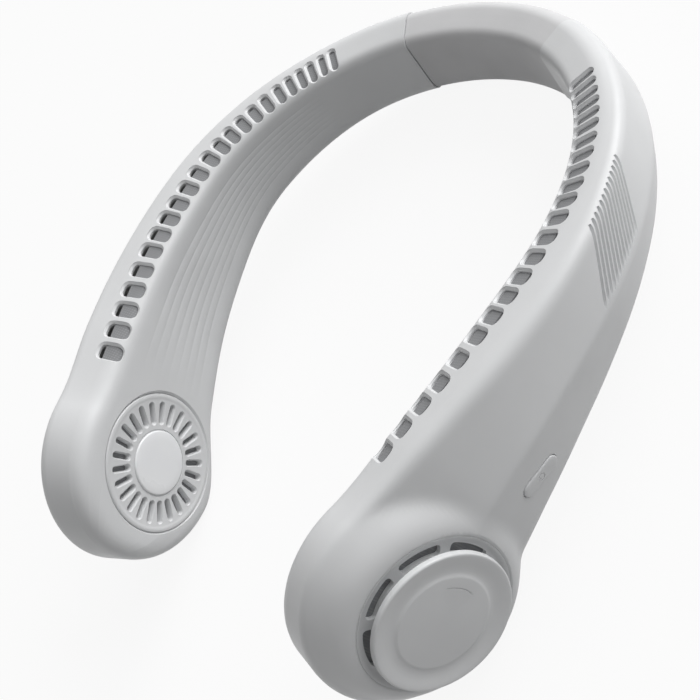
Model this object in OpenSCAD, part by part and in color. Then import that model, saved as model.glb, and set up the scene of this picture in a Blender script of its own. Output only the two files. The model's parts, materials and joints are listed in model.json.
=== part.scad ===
// Neck fan: two hollow arms joined by a bending band behind the neck, each ending in a pod with a
// centrifugal fan that blows out of a row of vents along the arm's top inner edge.
// Millimetres. The part stands as on a table, on the two pods and the middle of the band.
// Sections are drawn along the vent line, from s = 0 at the middle of the back: n points away
// from the neck and z up when the fan is worn. The left arm mirrors the right one.

/* [Plan of the ring] */
// Radius of the vent line round the back of the neck
neck_r = 82.6; // [78:0.1:88]
// Angle that the back arc turns through on each side
neck_turn = 92; // [88:1:96]
// Radius of the vent line where it straightens
arm_r = 178; // [160:1:200]
// Length of that stretch
arm_bend = 44; // [38:1:50]
// Distance along the vent line from the middle of the back to each fan's axis
fan_at = 220.3; // [216:0.1:226]

/* [Casing] */
// Drop of the vent line from the back to the fan axis
vent_drop = 9.5; // [8:0.1:11]
// Room between the vent line and the top of the fan wheel
top_room = 13.5; // [12:0.1:15]
// Room between the scroll's widest turn and the bottom of the casing
bottom_room = 3.6; // [3.2:0.1:5]
// Length of the rounded nose beyond the edge of the fan wheel
nose_room = 15.7; // [15:0.1:18]
// Reach of the casing inside the vent line at the fan
inner_reach = 4.6; // [4.2:0.1:5.2]
// Reach of the casing outside the vent line at the fan
outer_reach = 20; // [19.4:0.1:21.5]
// Drop of the crease between outer face and lower bevel at the fan
crease_drop = 42.8; // [38:0.1:46]
// Radius of the top outer corner at the fan
top_round = 6; // [4:0.1:7]
// Radius of the top inner corner at the fan
inner_round = 7.5; // [6:0.1:8.5]
// Radius of the bottom corners
bottom_round = 6.5; // [5:0.1:7]
// Wall of the casing shells
wall = 1.8; // [1.5:0.1:2]
// Where the two shells meet on top, outside the vent line
top_joint = 5.5; // [5.2:0.1:7]

/* [Vents] */
// Number of vents in each arm
vent_count = 23; // [12:1:23]
// Length of a vent across the arm
vent_l = 8.6; // [6:0.1:9]
// Width of the widest vent along the arm
vent_w = 5.2; // [4:0.1:5.6]
// Corner radius of a vent
vent_corner = 1.8; // [0.5:0.1:2]
// Slope of the vents towards the neck, in degrees
vent_slope = 14; // [10:1:18]
// Distance along the vent line from the middle of the back to the first vent
vent_first = 63.5; // [60:0.5:66]
// Distance to the last vent
vent_last = 199.5; // [190:0.5:202]

/* [Band] */
// Distance along the vent line from the middle of the back to each end of the band
band_half = 34; // [30:0.5:40]
// Half length of the middle of the band, which keeps its shape
band_mid = 12; // [9:0.5:14]
// Gap between the band and a casing
band_gap = 0.3; // [0.2:0.05:0.5]
// How far the band lies inside the casing's outline
band_inset = 0.4; // [0.2:0.1:0.8]
// Height of the steel strip
strip_h = 12; // [9:0.5:13]
// Thickness of the steel strip
strip_t = 0.6; // [0.4:0.1:0.8]
// Width of the ribbon cable
ribbon_w = 6; // [4:0.5:8]
// Thickness of the ribbon cable
ribbon_t = 1; // [0.8:0.1:1.2]
// Length of the plug that closes an arm's back end
plug_l = 11; // [8:0.5:13]

/* [Fan] */
// Radial depth of the blades
blade_w = 5.4; // [4.4:0.1:5.6]
// Gap between the rotor cup and the blades
blade_gap = 3.2; // [2.6:0.1:3.6]
// Width of the wheel along its axis
wheel_w = 13; // [11:0.1:13.4]
// Blades in a wheel
blade_count = 28; // [16:1:34]
// Thickness of a blade
blade_t = 0.8; // [0.6:0.1:1]
// Lean of a blade from the radius, in degrees
blade_lean = 28; // [0:1:35]
// Thickness of the wheel's plate and end rings
plate_t = 1; // [0.8:0.1:1.2]
// Radius of the motor shaft
shaft_r = 1; // [0.8:0.05:1.2]
// Running clearance of the shaft in its bearing
shaft_play = 0.04; // [0.02:0.01:0.08]
// Wall of the sleeve bearing
bearing_t = 1; // [0.8:0.05:1.2]
// Radial length of a stator tooth's winding
coil_l = 2.41; // [2.2:0.01:2.6]
// Height of the rotor cup
rotor_h = 7.2; // [6.6:0.1:7.4]
// Wall of the rotor cup
rotor_t = 0.9; // [0.7:0.1:1]
// Thickness of the magnet ring
magnet_t = 1.2; // [1:0.1:1.4]
// Air gap between magnet and stator
air_gap = 0.4; // [0.3:0.05:0.5]
// Teeth of the stator
tooth_count = 9; // [6:3:12]
// Wall of the air scroll
scroll_t = 1.2; // [1:0.1:1.4]
// Gap between wheel and scroll where the scroll starts
scroll_gap = 1.6; // [1.2:0.1:1.8]
// Growth of the scroll's radius over its length
scroll_grow = 3.6; // [2.6:0.1:3.8]

/* [Grille and intake] */
// Reach of the inner grille beyond the fan wheel
grille_over = 4.7; // [4:0.1:5]
// Radial slots in the grille
grille_slots = 25; // [17:1:25]
// How far the radial slots start inside the blades
slot_in = 0.4; // [0.2:0.1:1]
// How far the radial slots end outside the fan wheel
slot_out = 1.7; // [1:0.1:2]
// Width of a radial slot
slot_w = 1.9; // [1.4:0.1:2]
// Width of the plain ring between the slots and the disc
disc_gap = 2.2; // [1.6:0.1:4]
// Thickness of that disc
disc_t = 0.6; // [0.4:0.1:0.8]
// Reach of the intake bezel beyond the fan wheel, where it leaves the casing
bezel_over = 7.6; // [7.2:0.1:8.6]
// Width of the bezel's slope up to its rim
rim_w = 1.2; // [0.8:0.1:1.6]
// Height of the rim above the casing's outer face
rim_h = 1.9; // [1.4:0.1:2.4]
// Depth of the intake openings' floor below the rim
floor_drop = 1; // [0.6:0.1:1.4]
// Intake openings round the cap
intake_count = 8; // [6:1:10]
// Radial width of an intake opening, which runs in under the cap
intake_w = 3.3; // [2.8:0.1:3.5]
// Width of the bezel's floor outside the openings, most of which slopes up to the rim
intake_edge = 3; // [2.6:0.1:3.1]
// Angle of the web between two openings
intake_web = 9; // [6:1:14]
// Gap between the outer cap and the bezel's rim
cap_gap = 3.2; // [2.8:0.1:4]
// Thickness of the cap's edge, which stands clear of the bezel's floor
cap_edge = 2.2; // [1.8:0.1:2.4]
// Height of the cap's face above the casing's outer face
cap_h = 6.5; // [5.6:0.1:7.5]
// Width of the cap's rim, which slopes down to its raised middle
cap_rim_w = 7.3; // [5:0.1:9]
// Depth of that slope
dish_d = 0.9; // [0.6:0.1:1.2]
// How far the raised middle stands out of the dip round it
boss_h = 0.6; // [0.3:0.1:0.8]
// Rounding of the cap's edge
cap_round = 1.2; // [0.8:0.1:1.6]

/* [Power] */
// Length of a battery cell
cell_l = 44; // [36:1:46]
// Height of a battery cell
cell_h = 15.5; // [13:0.5:16]
// Gap between a battery cell and the circuit board, across the arm
cell_gap = 1.56; // [1.2:0.01:2]
// Distance along the vent line to a cell's middle
cell_at = 148; // [144:1:150]
// Length of the button
button_l = 14; // [11:0.5:15]
// Width of the button
button_w = 5; // [4:0.1:5.5]
// How far the button stands out
button_out = 0.5; // [0.4:0.05:0.8]
// Travel of the button
button_travel = 0.5; // [0.3:0.05:0.6]
// Distance along the vent line to the button's middle
button_at = 174; // [172:0.5:176]
// Height of the button's middle above the bottom of the casing
button_up = 13.5; // [12.8:0.1:14.2]
// Length of the circuit board
board_l = 30; // [28:1:33]
// Height of the circuit board
board_h = 15; // [13:0.5:16]
// Thickness of the circuit board
board_t = 1.2; // [1:0.1:1.6]
// Width of the charging socket
socket_w = 8.9; // [8.6:0.1:9.2]
// Height of the charging socket
socket_h = 3.2; // [3:0.1:3.4]
// Depth of the charging socket
socket_d = 7.3; // [6.5:0.1:8]
// Wall of the charging socket's shell
socket_t = 0.3; // [0.25:0.05:0.4]

/* [Fits] */
// Clearance between pieces that drop into each other
fit = 0.15; // [0.1:0.01:0.25]
// Clearance round the button
button_play = 0.2; // [0.15:0.05:0.3]
// Clearance round the turning wheel
turn_gap = 1; // [0.8:0.1:1.2]

/* [Hidden] */
$fn = 96;
over = 0.5;                        // overrun of every cut

// Stations along an arm, as shares of the distance to the fan axis
station_shares = [0, 0.25, 0.477, 0.681, 0.862, 1];
// Height of the vent line, as shares of its drop
vent_shares = [0.02, 0.12, 0.17, -0.01, -0.43, -0.83];
// Bottom of the casing, as shares of its depth at the fan
bottom_shares = [0.359, 0.354, 0.412, 0.573, 0.766, 1];
// Reach of the bottom inner corner, as shares of the inner reach
bottom_in_shares = [1.35, 1.09, 0.87, 0.9, 1, 1];
// Reach of the top inner corner, as shares of the inner reach
top_in_shares = [1.33, 1.2, 1.3, 1.45, 1.2, 1];
// Reach of the top outer corner, as shares of the outer reach
top_out_shares = [0.48, 0.52, 0.63, 0.745, 0.735, 0.66];
// Drop of the top outer corner below the vent line, as shares of the top joint's reach
top_fall_shares = [0.22, 0.06, -0.2, -0.235, -0.56, -0.63];
// Reach of the crease, as shares of the outer reach
crease_out_shares = [0.545, 0.62, 0.73, 0.95, 1.1, 1];
// Drop of the crease, as shares of its drop at the fan
crease_shares = [0.315, 0.339, 0.369, 0.46, 0.666, 1];
// Reach of the bottom outer corner, as shares of the outer reach
bottom_out_shares = [0.345, 0.43, 0.54, 0.66, 0.9, 0.95];
// Radius of the top outer corner, as shares of its radius at the fan
round_shares = [0.7, 0.7, 0.7, 0.8, 0.9, 1];
// Radius of the top inner corner, as shares of its radius at the fan
inner_round_shares = [0.46, 0.46, 0.48, 0.52, 0.7, 1];
// Places of the vents between the first and the last, as shares of that distance
vent_place_shares = [0, 0.032, 0.065, 0.097, 0.131, 0.167, 0.208, 0.249, 0.29, 0.331, 0.371,
    0.415, 0.464, 0.513, 0.562, 0.61, 0.66, 0.71, 0.768, 0.826, 0.883, 0.941, 1];
// Width of the vents, as shares of the widest
vent_width_shares = [0.46, 0.46, 0.48, 0.5, 0.52, 0.56, 0.62, 0.66, 0.68, 0.7, 0.72, 0.76, 0.8,
    0.84, 0.86, 0.88, 0.9, 0.92, 0.94, 0.96, 0.98, 1, 1];

// The pod is built outwards from the fan's shaft
tube_t = 0.9;                      // wall of the motor base's tube
hub_w = 1.2;                       // ring of the stator's core round the tube
shoe_t = 0.9;                      // tip of a stator tooth
rim_top = 0.5;                     // flat top of the bezel's rim
bearing_r = shaft_r + shaft_play + bearing_t;
tube_r = bearing_r + tube_t;
stator_r = tube_r + hub_w + coil_l + shoe_t + 3 * fit;
magnet_in = stator_r + air_gap;
rotor_r = magnet_in + magnet_t + rotor_t;
blade_in_r = rotor_r + blade_gap;
wheel_r = blade_in_r + blade_w;
grille_r = wheel_r + grille_over;
slot_in_r = blade_in_r - slot_in;
slot_out_r = wheel_r + slot_out;
disc_r = slot_in_r - disc_gap;
bezel_r = wheel_r + bezel_over;
rim_r = bezel_r - rim_w;
rim_in_r = rim_r - rim_top;
cap_r = rim_in_r - cap_gap;
intake_r = rim_in_r - intake_edge;
seat_r = intake_r - intake_w;
dish_r = cap_r - cap_rim_w;
scroll_r = wheel_r + scroll_gap;
axis_drop = vent_drop + top_room + wheel_r;
pod_depth = axis_drop + scroll_r + scroll_grow + scroll_t + bottom_room + wall;
nose_len = wheel_r + nose_room;

stations = [for (q = station_shares) q * fan_at];
vent_rise = tan(vent_slope);       // slope of the vent facet
nose_mid_share = 0.45;             // middle of the casing, as a share of its outer reach
nose_slim_share = 0.45;            // how much thinner the nose's tip is
nose_mid = nose_mid_share * outer_reach;
arc_end = neck_r * neck_turn * PI / 180;
bend_end = arc_end + arm_bend;
row_step_share = 0.0375;           // spacing of the sections, as a share of the fan's distance
row_step = row_step_share * fan_at;
fine_step_share = 0.0235;          // the same in the band
fine_step = fine_step_share * fan_at;

// Smooth curve through values y at stations x, flat at both ends
function mean_slope(a, b) = a * b <= 0 ? 0 : 2 * a * b / (a + b);
function slope(x, y, i) = i == 0 || i == len(x) - 1 ? 0
    : mean_slope((y[i] - y[i - 1]) / (x[i] - x[i - 1]), (y[i + 1] - y[i]) / (x[i + 1] - x[i]));
function span_of(x, v, i = 0) = i >= len(x) - 2 || v < x[i + 1] ? i : span_of(x, v, i + 1);
function curve(x, y, v) = let (c = max(x[0], min(v, x[len(x) - 1])), i = span_of(x, c),
    h = x[i + 1] - x[i], t = (c - x[i]) / h)
    (2 * t ^ 3 - 3 * t ^ 2 + 1) * y[i] + (t ^ 3 - 2 * t ^ 2 + t) * h * slope(x, y, i)
    + (3 * t ^ 2 - 2 * t ^ 3) * y[i + 1] + (t ^ 3 - t ^ 2) * h * slope(x, y, i + 1);
function along(shares, size, s) = size * curve(stations, shares, abs(s));

// The vent line in plan, for s on either side of the middle
function turn_at(s) = let (a = abs(s)) a < arc_end ? a / neck_r * 180 / PI
    : neck_turn + min(a - arc_end, arm_bend) / arm_r * 180 / PI;
function line_at(s) = let (a = abs(s), q = turn_at(min(a, arc_end)), t = turn_at(a),
    c = max(a - bend_end, 0))
    [neck_r * sin(q) + (a > arc_end ? arm_r * (sin(t) - sin(neck_turn)) + c * cos(t) : 0),
     neck_r * (cos(q) - 1) + (a > arc_end ? arm_r * (cos(t) - cos(neck_turn)) - c * sin(t) : 0)];
function place(s, n, z) = let (p = line_at(s), t = turn_at(s))
    [(s < 0 ? -1 : 1) * (p[0] + n * sin(t)), p[1] + n * cos(t), z];
function vent_z(s) = along(vent_shares, vent_drop, s);
function bottom_z(s) = -along(bottom_shares, pod_depth, s);

// Corners of the casing's section: bottom inner, top inner, joint, top outer, crease, bottom outer
function corners(s) = let (z = vent_z(s), b = bottom_z(s), ti = -along(top_in_shares, inner_reach, s))
    [[-along(bottom_in_shares, inner_reach, s), b],
     [ti, z + vent_rise * ti],
     [top_joint, z + vent_rise * top_joint],
     [along(top_out_shares, outer_reach, s), z - along(top_fall_shares, top_joint, s)],
     [along(crease_out_shares, outer_reach, s), -along(crease_shares, crease_drop, s)],
     [along(bottom_out_shares, outer_reach, s), b]];
function unit(v) = v / norm(v);
// A corner moved inwards by d, where a, p and b follow each other clockwise
function inset_corner(a, p, b, d) = let (u = unit(p - a), w = unit(b - p),
    m = [u[1], -u[0]], k = [w[1], -w[0]])
    p + d * (m + k) / (1 + m * k);
function inset(c, d) = [for (i = [0 : len(c) - 1])
    inset_corner(c[(i + len(c) - 1) % len(c)], c[i], c[(i + 1) % len(c)], d)];
// A corner rounded with radius r in n steps
function rounded(a, p, b, r, n) = let (d = min(r, 0.48 * norm(a - p), 0.48 * norm(b - p)),
    q = p + d * unit(a - p), w = p + d * unit(b - p))
    [for (i = [0 : n]) let (t = i / n) (1 - t) ^ 2 * q + 2 * t * (1 - t) * p + t ^ 2 * w];
// Section with its corners inset by d; half 1 is the neck's side, 2 the outer side, 0 both
function section(s, d, half) = let (c = inset(corners(s), d), j = c[2],
    k = (c[0] + c[5]) / 2, r = along(round_shares, top_round, s) - d,
    ri = along(inner_round_shares, inner_round, s) - d / 2,
    inner = concat([j], rounded(j, c[1], c[0], ri, 4),
        rounded(c[1], c[0], c[5], bottom_round - d / 2, 3), [k]),
    outer = concat([k], rounded(c[0], c[5], c[4], bottom_round - d / 2, 3), [c[4]],
        rounded(c[4], c[3], j, r, 5), [j]))
    half == 1 ? inner : half == 2 ? outer
        : concat(inner, [for (i = [1 : len(outer) - 2]) outer[i]]);
// The same section in the nose, where it closes towards the tip, in space
function slim(q, power) = 1 - nose_slim_share * (1 - (1 - min(q, 1) ^ power) ^ (1 / power));
function nose_n(n, q) = nose_mid + (n - nose_mid) * slim(q, n < nose_mid ? 5 : 4);
function ring(s, d, half) = let (q = max(0, (abs(s) - fan_at) / (nose_len - d)),
    c = sqrt(max(0, 1 - q ^ 2)),
    m = (vent_z(fan_at) + vent_rise * top_joint + bottom_z(fan_at)) / 2)
    [for (p = section(min(abs(s), fan_at), d, half))
        q > 0 ? place(s, nose_n(p[0], q), m + (p[1] - m) * c) : place(s, p[0], p[1])];

// Places of the sections of an arm's surface that is inset by d, from its back end to its tip
nose_angles = [0, 15, 30, 43, 55, 66, 76, 86.5];
arm_rows = ceil((fan_at - band_half) / row_step);
function arm_places(start, d) = concat(
    [for (i = [0 : arm_rows - 1]) start + (fan_at - start) * i / arm_rows],
    [for (a = nose_angles) fan_at + (nose_len - d) * sin(a)]);

function strip_faces(rows, cols, at, flip = false) = [for (i = [0 : rows - 2],
    j = [0 : cols - 2]) let (a = at + i * cols + j, b = a + 1, c = a + cols, e = c + 1)
    each flip ? [[a, c, e], [a, e, b]] : [[a, e, c], [a, b, e]]];

// A shell of one half of an arm: outer skin, inner skin and the faces that join their edges
module half_shell(half) {
    start = band_half + band_gap;
    skin = [for (s = arm_places(start, 0)) ring(s, 0, half)];
    lining = [for (s = arm_places(start, wall)) ring(s, wall, half)];
    rows = len(skin);
    cols = len(skin[0]);
    size = rows * cols;
    tip = (rows - 1) * cols;
    edges = [for (i = [0 : rows - 2]) let (a = i * cols, b = a + cols, e = a + cols - 1, f = e + cols)
        each [[a, b + size, b], [a, a + size, b + size], [e, f, f + size], [e, f + size, e + size]]];
    back = [for (j = [0 : cols - 2]) each [[j, j + 1, j + 1 + size], [j, j + 1 + size, j + size]]];
    outer_tip = [for (j = [1 : cols - 2]) [tip, tip + j + 1, tip + j]];
    inner_tip = [for (j = [1 : cols - 2]) [tip + size, tip + size + j, tip + size + j + 1]];
    tip_edge = [[tip, tip + cols - 1 + size, tip + cols - 1],
        [tip, tip + size, tip + cols - 1 + size]];
    polyhedron([for (r = concat(skin, lining)) each r],
        concat(strip_faces(rows, cols, 0, true), strip_faces(rows, cols, size), edges, back,
            outer_tip, inner_tip, tip_edge));
}

// A closed body through loops that each have the same number of points
module swept(loops) {
    rows = len(loops);
    cols = len(loops[0]);
    sides = [for (i = [0 : rows - 2], j = [0 : cols - 1]) let (k = (j + 1) % cols,
        a = i * cols + j, b = i * cols + k, c = a + cols, e = b + cols)
        each [[a, e, c], [a, b, e]]];
    first = [for (j = [1 : cols - 2]) [0, j + 1, j]];
    last = [for (j = [1 : cols - 2]) let (z = (rows - 1) * cols) [z, z + j, z + j + 1]];
    polyhedron([for (r = loops) each r], concat(sides, first, last));
}
function steps(a, b) = let (n = max(2, ceil((b - a) / fine_step)))
    [for (i = [0 : n]) a + (b - a) * i / n];
function box_loop(s, n0, n1, z0, z1) = [place(s, n0, z0), place(s, n0, z1), place(s, n1, z1),
    place(s, n1, z0)];
module swept_box(a, b, n0, n1, z0, z1) {
    swept([for (s = steps(a, b)) box_loop(s, n0, n1, z0, z1)]);
}
module swept_section(a, b, d) {
    swept([for (s = steps(a, b)) let (r = ring(s, d, 0)) [for (i = [len(r) - 1 : -1 : 0]) r[i]]]);
}

// The part's pose on a table: it leans back until the pods and the middle of the band touch it
function lean_z(p, t) = p[2] * cos(t) - p[1] * sin(t);
pod_low = [for (q = [-1 : 0.05 : 1]) each ring(fan_at + q * nose_len, 0, 0)];
band_low = [for (q = [0, 0.5, 1]) each ring(q * band_mid, band_inset, 0)];
function low(points, t) = min([for (p = points) lean_z(p, t)]);
function lean(a, b, n) = let (m = (a + b) / 2) n == 0 ? m
    : low(pod_low, m) < low(band_low, m) ? lean(m, b, n - 1) : lean(a, m, n - 1);
lean_limit = 30;                   // in degrees
lean_steps = 24;
rest_lean = lean(0, lean_limit, lean_steps);
rest_z = -low(pod_low, rest_lean);
tip_low = [for (q = [0.5 : 0.02 : 1]) each ring(fan_at + q * nose_len, 0, 0)];
function lean_y(p) = p[1] * cos(rest_lean) + p[2] * sin(rest_lean);
rest_y = -(max([for (p = ring(0, band_inset, 0)) lean_y(p)])
    + min([for (p = tip_low) lean_y(p)])) / 2;
module rest() { translate([0, rest_y, rest_z]) rotate([-rest_lean, 0, 0]) children(); }

// Frames on the right arm: x runs along the arm, y away from the neck, z up
module at(s) {
    p = line_at(s);
    translate([p[0], p[1], 0]) rotate([0, 0, -turn_at(s)]) children();
}
// The fan's frame: z is its axis, away from the neck, with zero on the vent line; y points down
module on_fan() { at(fan_at) translate([0, 0, -axis_drop]) rotate([-90, 0, 0]) children(); }
module arm(side) { rest() mirror([side == "left" ? 1 : 0, 0, 0]) children(); }

casing_color = [0.87, 0.875, 0.88];
band_color = [0.83, 0.835, 0.84];
dark_color = [0.2, 0.2, 0.22];

// Heights along the fan axis, counted from the vent line
face_in = -inner_reach;                        // the grille's face
lining_in = wall - inner_reach;                // inside of the neck-side wall
flange_seat = 0.35;                            // from the wall to the grille's flange
flange_t = 1;                                  // the grille's flange behind the wall
flange_w = 0.6;                                // its width
flange_end = lining_in + flange_seat + flange_t;
wheel_z = flange_end + turn_gap;               // the wheel's neck-side end
plate_z = wheel_z + wheel_w / 2;               // the wheel's middle plate
wheel_end = wheel_z + wheel_w;
cover_z = wheel_end + turn_gap;                // the scroll's outer cover
cover_end = cover_z + plate_t;
deck_end = outer_reach + rim_h - floor_drop;   // the bezel's floor, which carries motor and cap
deck_t = 1.6;
deck_z = deck_end - deck_t;
cap_z = outer_reach + cap_h;                   // the cap's face
cup_z = plate_z + plate_t;                     // the rotor cup stands on the wheel's plate
base_t = 1.2;                                  // the motor base's flange
base_z = deck_z - base_t;
base_over = 3;                                 // how far its edge lies outside the screws
stator_gap = 1;                                // from the cup's floor to the stator
stator_z = cup_z + rotor_t + stator_gap;
stator_h = 4;
post_gap = 3.66;                               // from the motor base's tube to the screws
post_r = tube_r + post_gap;
base_r = post_r + base_over;
screw_r = 0.8;
screw_count = 3;

module tube(r, bore, h) {
    difference() {
        cylinder(r = r, h = h);
        translate([0, 0, -over]) cylinder(r = bore, h = h + 2 * over);
    }
}
module on_circle(count, r) {
    for (i = [0 : count - 1]) rotate([0, 0, i * 360 / count]) translate([r, 0, 0]) children();
}

// Outline of a vent, l across the arm and w along it
function vent_outline(w, l, c) = [for (q = [[1, 1, 0], [-1, 1, 90], [-1, -1, 180], [1, -1, 270]],
    a = [0, 45, 90]) [q[0] * (w / 2 - c) + c * cos(q[2] + a), q[1] * (l / 2 - c) + c * sin(q[2] + a)]];
vent_deep = 3 * wall;                          // how far a vent's cut reaches either way
module vents() {
    for (i = [0 : vent_count - 1]) {
        s = vent_first + (vent_last - vent_first) * vent_place_shares[i];
        w = vent_w * vent_width_shares[i];
        at(s) translate([0, 0, vent_z(s)]) rotate([vent_slope, 0, 0]) translate([0, 0, -vent_deep])
            linear_extrude(height = 2 * vent_deep)
                polygon(vent_outline(w, vent_l, min(vent_corner, 0.45 * w)));
    }
}

module inner_shell(side) color(casing_color) arm(side) {
    difference() {
        half_shell(1);
        vents();
        on_fan() translate([0, 0, face_in - over]) cylinder(r = grille_r + fit, h = wall + 2 * over);
        if (side == "right") socket_hole();
    }
}

// The outer shell, with the bezel's opening and, on the right arm, the button's and the socket's
module outer_shell(side) color(casing_color) arm(side) {
    difference() {
        half_shell(2);
        on_fan() translate([0, 0, cover_z]) cylinder(r = bezel_r + fit, h = outer_reach);
        if (side == "right") {
            on_button() translate([0, 0, -2 * wall]) pill(button_l / 2 + button_play,
                button_w / 2 + button_play, 4 * wall);
            socket_hole();
        }
    }
}

// Grille with its radial slots and the flange behind the wall
module grille(side) color(casing_color) arm(side) on_fan() {
    difference() {
        union() {
            translate([0, 0, face_in]) cylinder(r = grille_r, h = flange_end - face_in);
            translate([0, 0, flange_end - flange_t]) cylinder(r = grille_r + flange_w, h = flange_t);
        }
        for (i = [0 : grille_slots - 1]) rotate([0, 0, (i + 0.5) * 360 / grille_slots])
            translate([slot_in_r, -slot_w / 2, face_in - over])
                cube([slot_out_r - slot_in_r, slot_w, flange_end - face_in + 2 * over]);
    }
}
module grille_disc(side) color("white") arm(side) on_fan()
    translate([0, 0, face_in - disc_t]) cylinder(r = disc_r, h = disc_t);

// Bezel: a skirt in the casing's opening, a rim, and a floor with the intake openings
module intake_bezel(side) color(casing_color) arm(side) on_fan() {
    skirt_z = cover_end + fit;
    difference() {
        union() {
            translate([0, 0, skirt_z]) cylinder(r = bezel_r, h = outer_reach - skirt_z);
            translate([0, 0, outer_reach]) cylinder(r1 = bezel_r, r2 = rim_r, h = rim_h);
        }
        translate([0, 0, skirt_z - over]) cylinder(r = rim_in_r, h = deck_z - skirt_z + over);
        translate([0, 0, deck_end]) cylinder(h = floor_drop + over, r1 = intake_r + rim_top,
            r2 = rim_in_r + over * (intake_edge - rim_top) / floor_drop);
        for (i = [0 : intake_count - 1]) rotate([0, 0, (i + 0.5) * 360 / intake_count])
            translate([0, 0, deck_z - over]) rotate([0, 0, -180 / intake_count + intake_web / 2])
                rotate_extrude(angle = 360 / intake_count - intake_web)
                    translate([seat_r, 0]) square([intake_w, deck_t + 2 * over]);
        on_circle(screw_count, post_r) translate([0, 0, deck_z - over])
            cylinder(r = screw_r + fit, h = deck_t + 2 * over);
        translate([0, 0, deck_z - over]) cylinder(r = 2 * shaft_r, h = deck_t + 2 * over);
    }
}

// Cap: a rounded disc with a raised middle in a dip, on a foot that stands on the bezel's floor
module cap(side) color(casing_color) arm(side) on_fan() {
    h = cap_z - deck_end;
    foot_r = seat_r - deck_t / 2;
    bevel = 0.3 * cap_round;
    translate([0, 0, deck_end]) rotate_extrude() polygon([
        [foot_r - wall, 0], [foot_r, 0], [foot_r, h - cap_edge], [cap_r - bevel, h - cap_edge],
        [cap_r, h - cap_edge + bevel], [cap_r, h - cap_round], [cap_r - bevel, h - bevel],
        [cap_r - cap_round, h], [dish_r + dish_d, h - dish_d], [dish_r, h - dish_d + boss_h],
        [0, h - dish_d + boss_h], [0, h - dish_d - wall], [foot_r - wall, h - dish_d - wall]]);
}

// Fan wheel, drawing air from both sides: middle plate, blades and end rings
module fan_wheel(side) color([0.3, 0.31, 0.33]) arm(side) on_fan() {
    difference() {
        union() {
            translate([0, 0, plate_z]) cylinder(r = wheel_r, h = plate_t);
            for (z = [wheel_z, wheel_end - plate_t])
                translate([0, 0, z]) tube(wheel_r, wheel_r - plate_t, plate_t);
            on_circle(blade_count, blade_in_r) rotate([0, 0, blade_lean])
                translate([0, -blade_t / 2, wheel_z])
                    cube([wheel_r - plate_t / 2 - blade_in_r, blade_t, wheel_w]);
            translate([0, 0, plate_z - 2 * plate_t]) cylinder(r = 3 * shaft_r, h = 3 * plate_t);
        }
        translate([0, 0, wheel_z]) cylinder(r = shaft_r, h = wheel_w);
    }
}
module rotor_cup(side) color("silver") arm(side) on_fan() {
    difference() {
        translate([0, 0, cup_z]) cylinder(r = rotor_r, h = rotor_h);
        translate([0, 0, cup_z + rotor_t]) cylinder(r = rotor_r - rotor_t, h = rotor_h);
        translate([0, 0, cup_z - over]) cylinder(r = shaft_r, h = rotor_h);
    }
}
module magnet_ring(side) color(dark_color) arm(side) on_fan()
    translate([0, 0, cup_z + rotor_t]) tube(rotor_r - rotor_t, magnet_in, rotor_h - rotor_t);
module shaft(side) color("silver") arm(side) on_fan()
    translate([0, 0, plate_z - 2 * plate_t]) cylinder(r = shaft_r, h = deck_z - plate_z + plate_t);
module bearing(side) color([0.72, 0.55, 0.33]) arm(side) on_fan()
    translate([0, 0, stator_z - rotor_t / 2]) tube(bearing_r, shaft_r + shaft_play, base_z - stator_z);

// Motor base: a flange under the bezel's floor and a tube that holds bearing and stator
module motor_base(side) color(dark_color) arm(side) on_fan() {
    difference() {
        union() {
            translate([0, 0, base_z]) cylinder(r = base_r, h = base_t);
            translate([0, 0, stator_z - rotor_t / 2]) cylinder(r = tube_r, h = base_z - stator_z + rotor_t);
        }
        translate([0, 0, stator_z - over - rotor_t])
            cylinder(r = bearing_r, h = deck_z - stator_z + rotor_t + 2 * over);
        on_circle(screw_count, post_r) translate([0, 0, base_z - over])
            cylinder(r = screw_r, h = base_t + 2 * over);
    }
}
tooth_w = 1.1;
module stator(side) color([0.45, 0.46, 0.48]) arm(side) on_fan() translate([0, 0, stator_z]) {
    tube(tube_r + hub_w, tube_r, stator_h);
    intersection() {
        on_circle(tooth_count, tube_r + hub_w / 2) {
            translate([0, -tooth_w / 2, 0]) cube([stator_r - tube_r, tooth_w, stator_h]);
            translate([stator_r - shoe_t - tube_r - hub_w / 2, -1.3 * tooth_w, 0])
                cube([shoe_t + over, 2.6 * tooth_w, stator_h]);
        }
        tube(stator_r, tube_r + hub_w / 3, stator_h);
    }
}
module coils(side) color([0.72, 0.42, 0.2]) arm(side) on_fan() translate([0, 0, stator_z])
    on_circle(tooth_count, tube_r + hub_w + fit) difference() {
        translate([0, -tooth_w, -tooth_w / 2]) cube([coil_l, 2 * tooth_w, stator_h + tooth_w]);
        translate([-over, -tooth_w / 2, 0]) cube([coil_l + 2 * over, tooth_w, stator_h]);
    }
module motor_screws(side) color("silver") arm(side) on_fan()
    on_circle(screw_count, post_r) {
        translate([0, 0, base_z]) cylinder(r = screw_r, h = deck_end - base_z);
        translate([0, 0, deck_end]) cylinder(r = 1.8 * screw_r, h = screw_r);
    }

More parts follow.
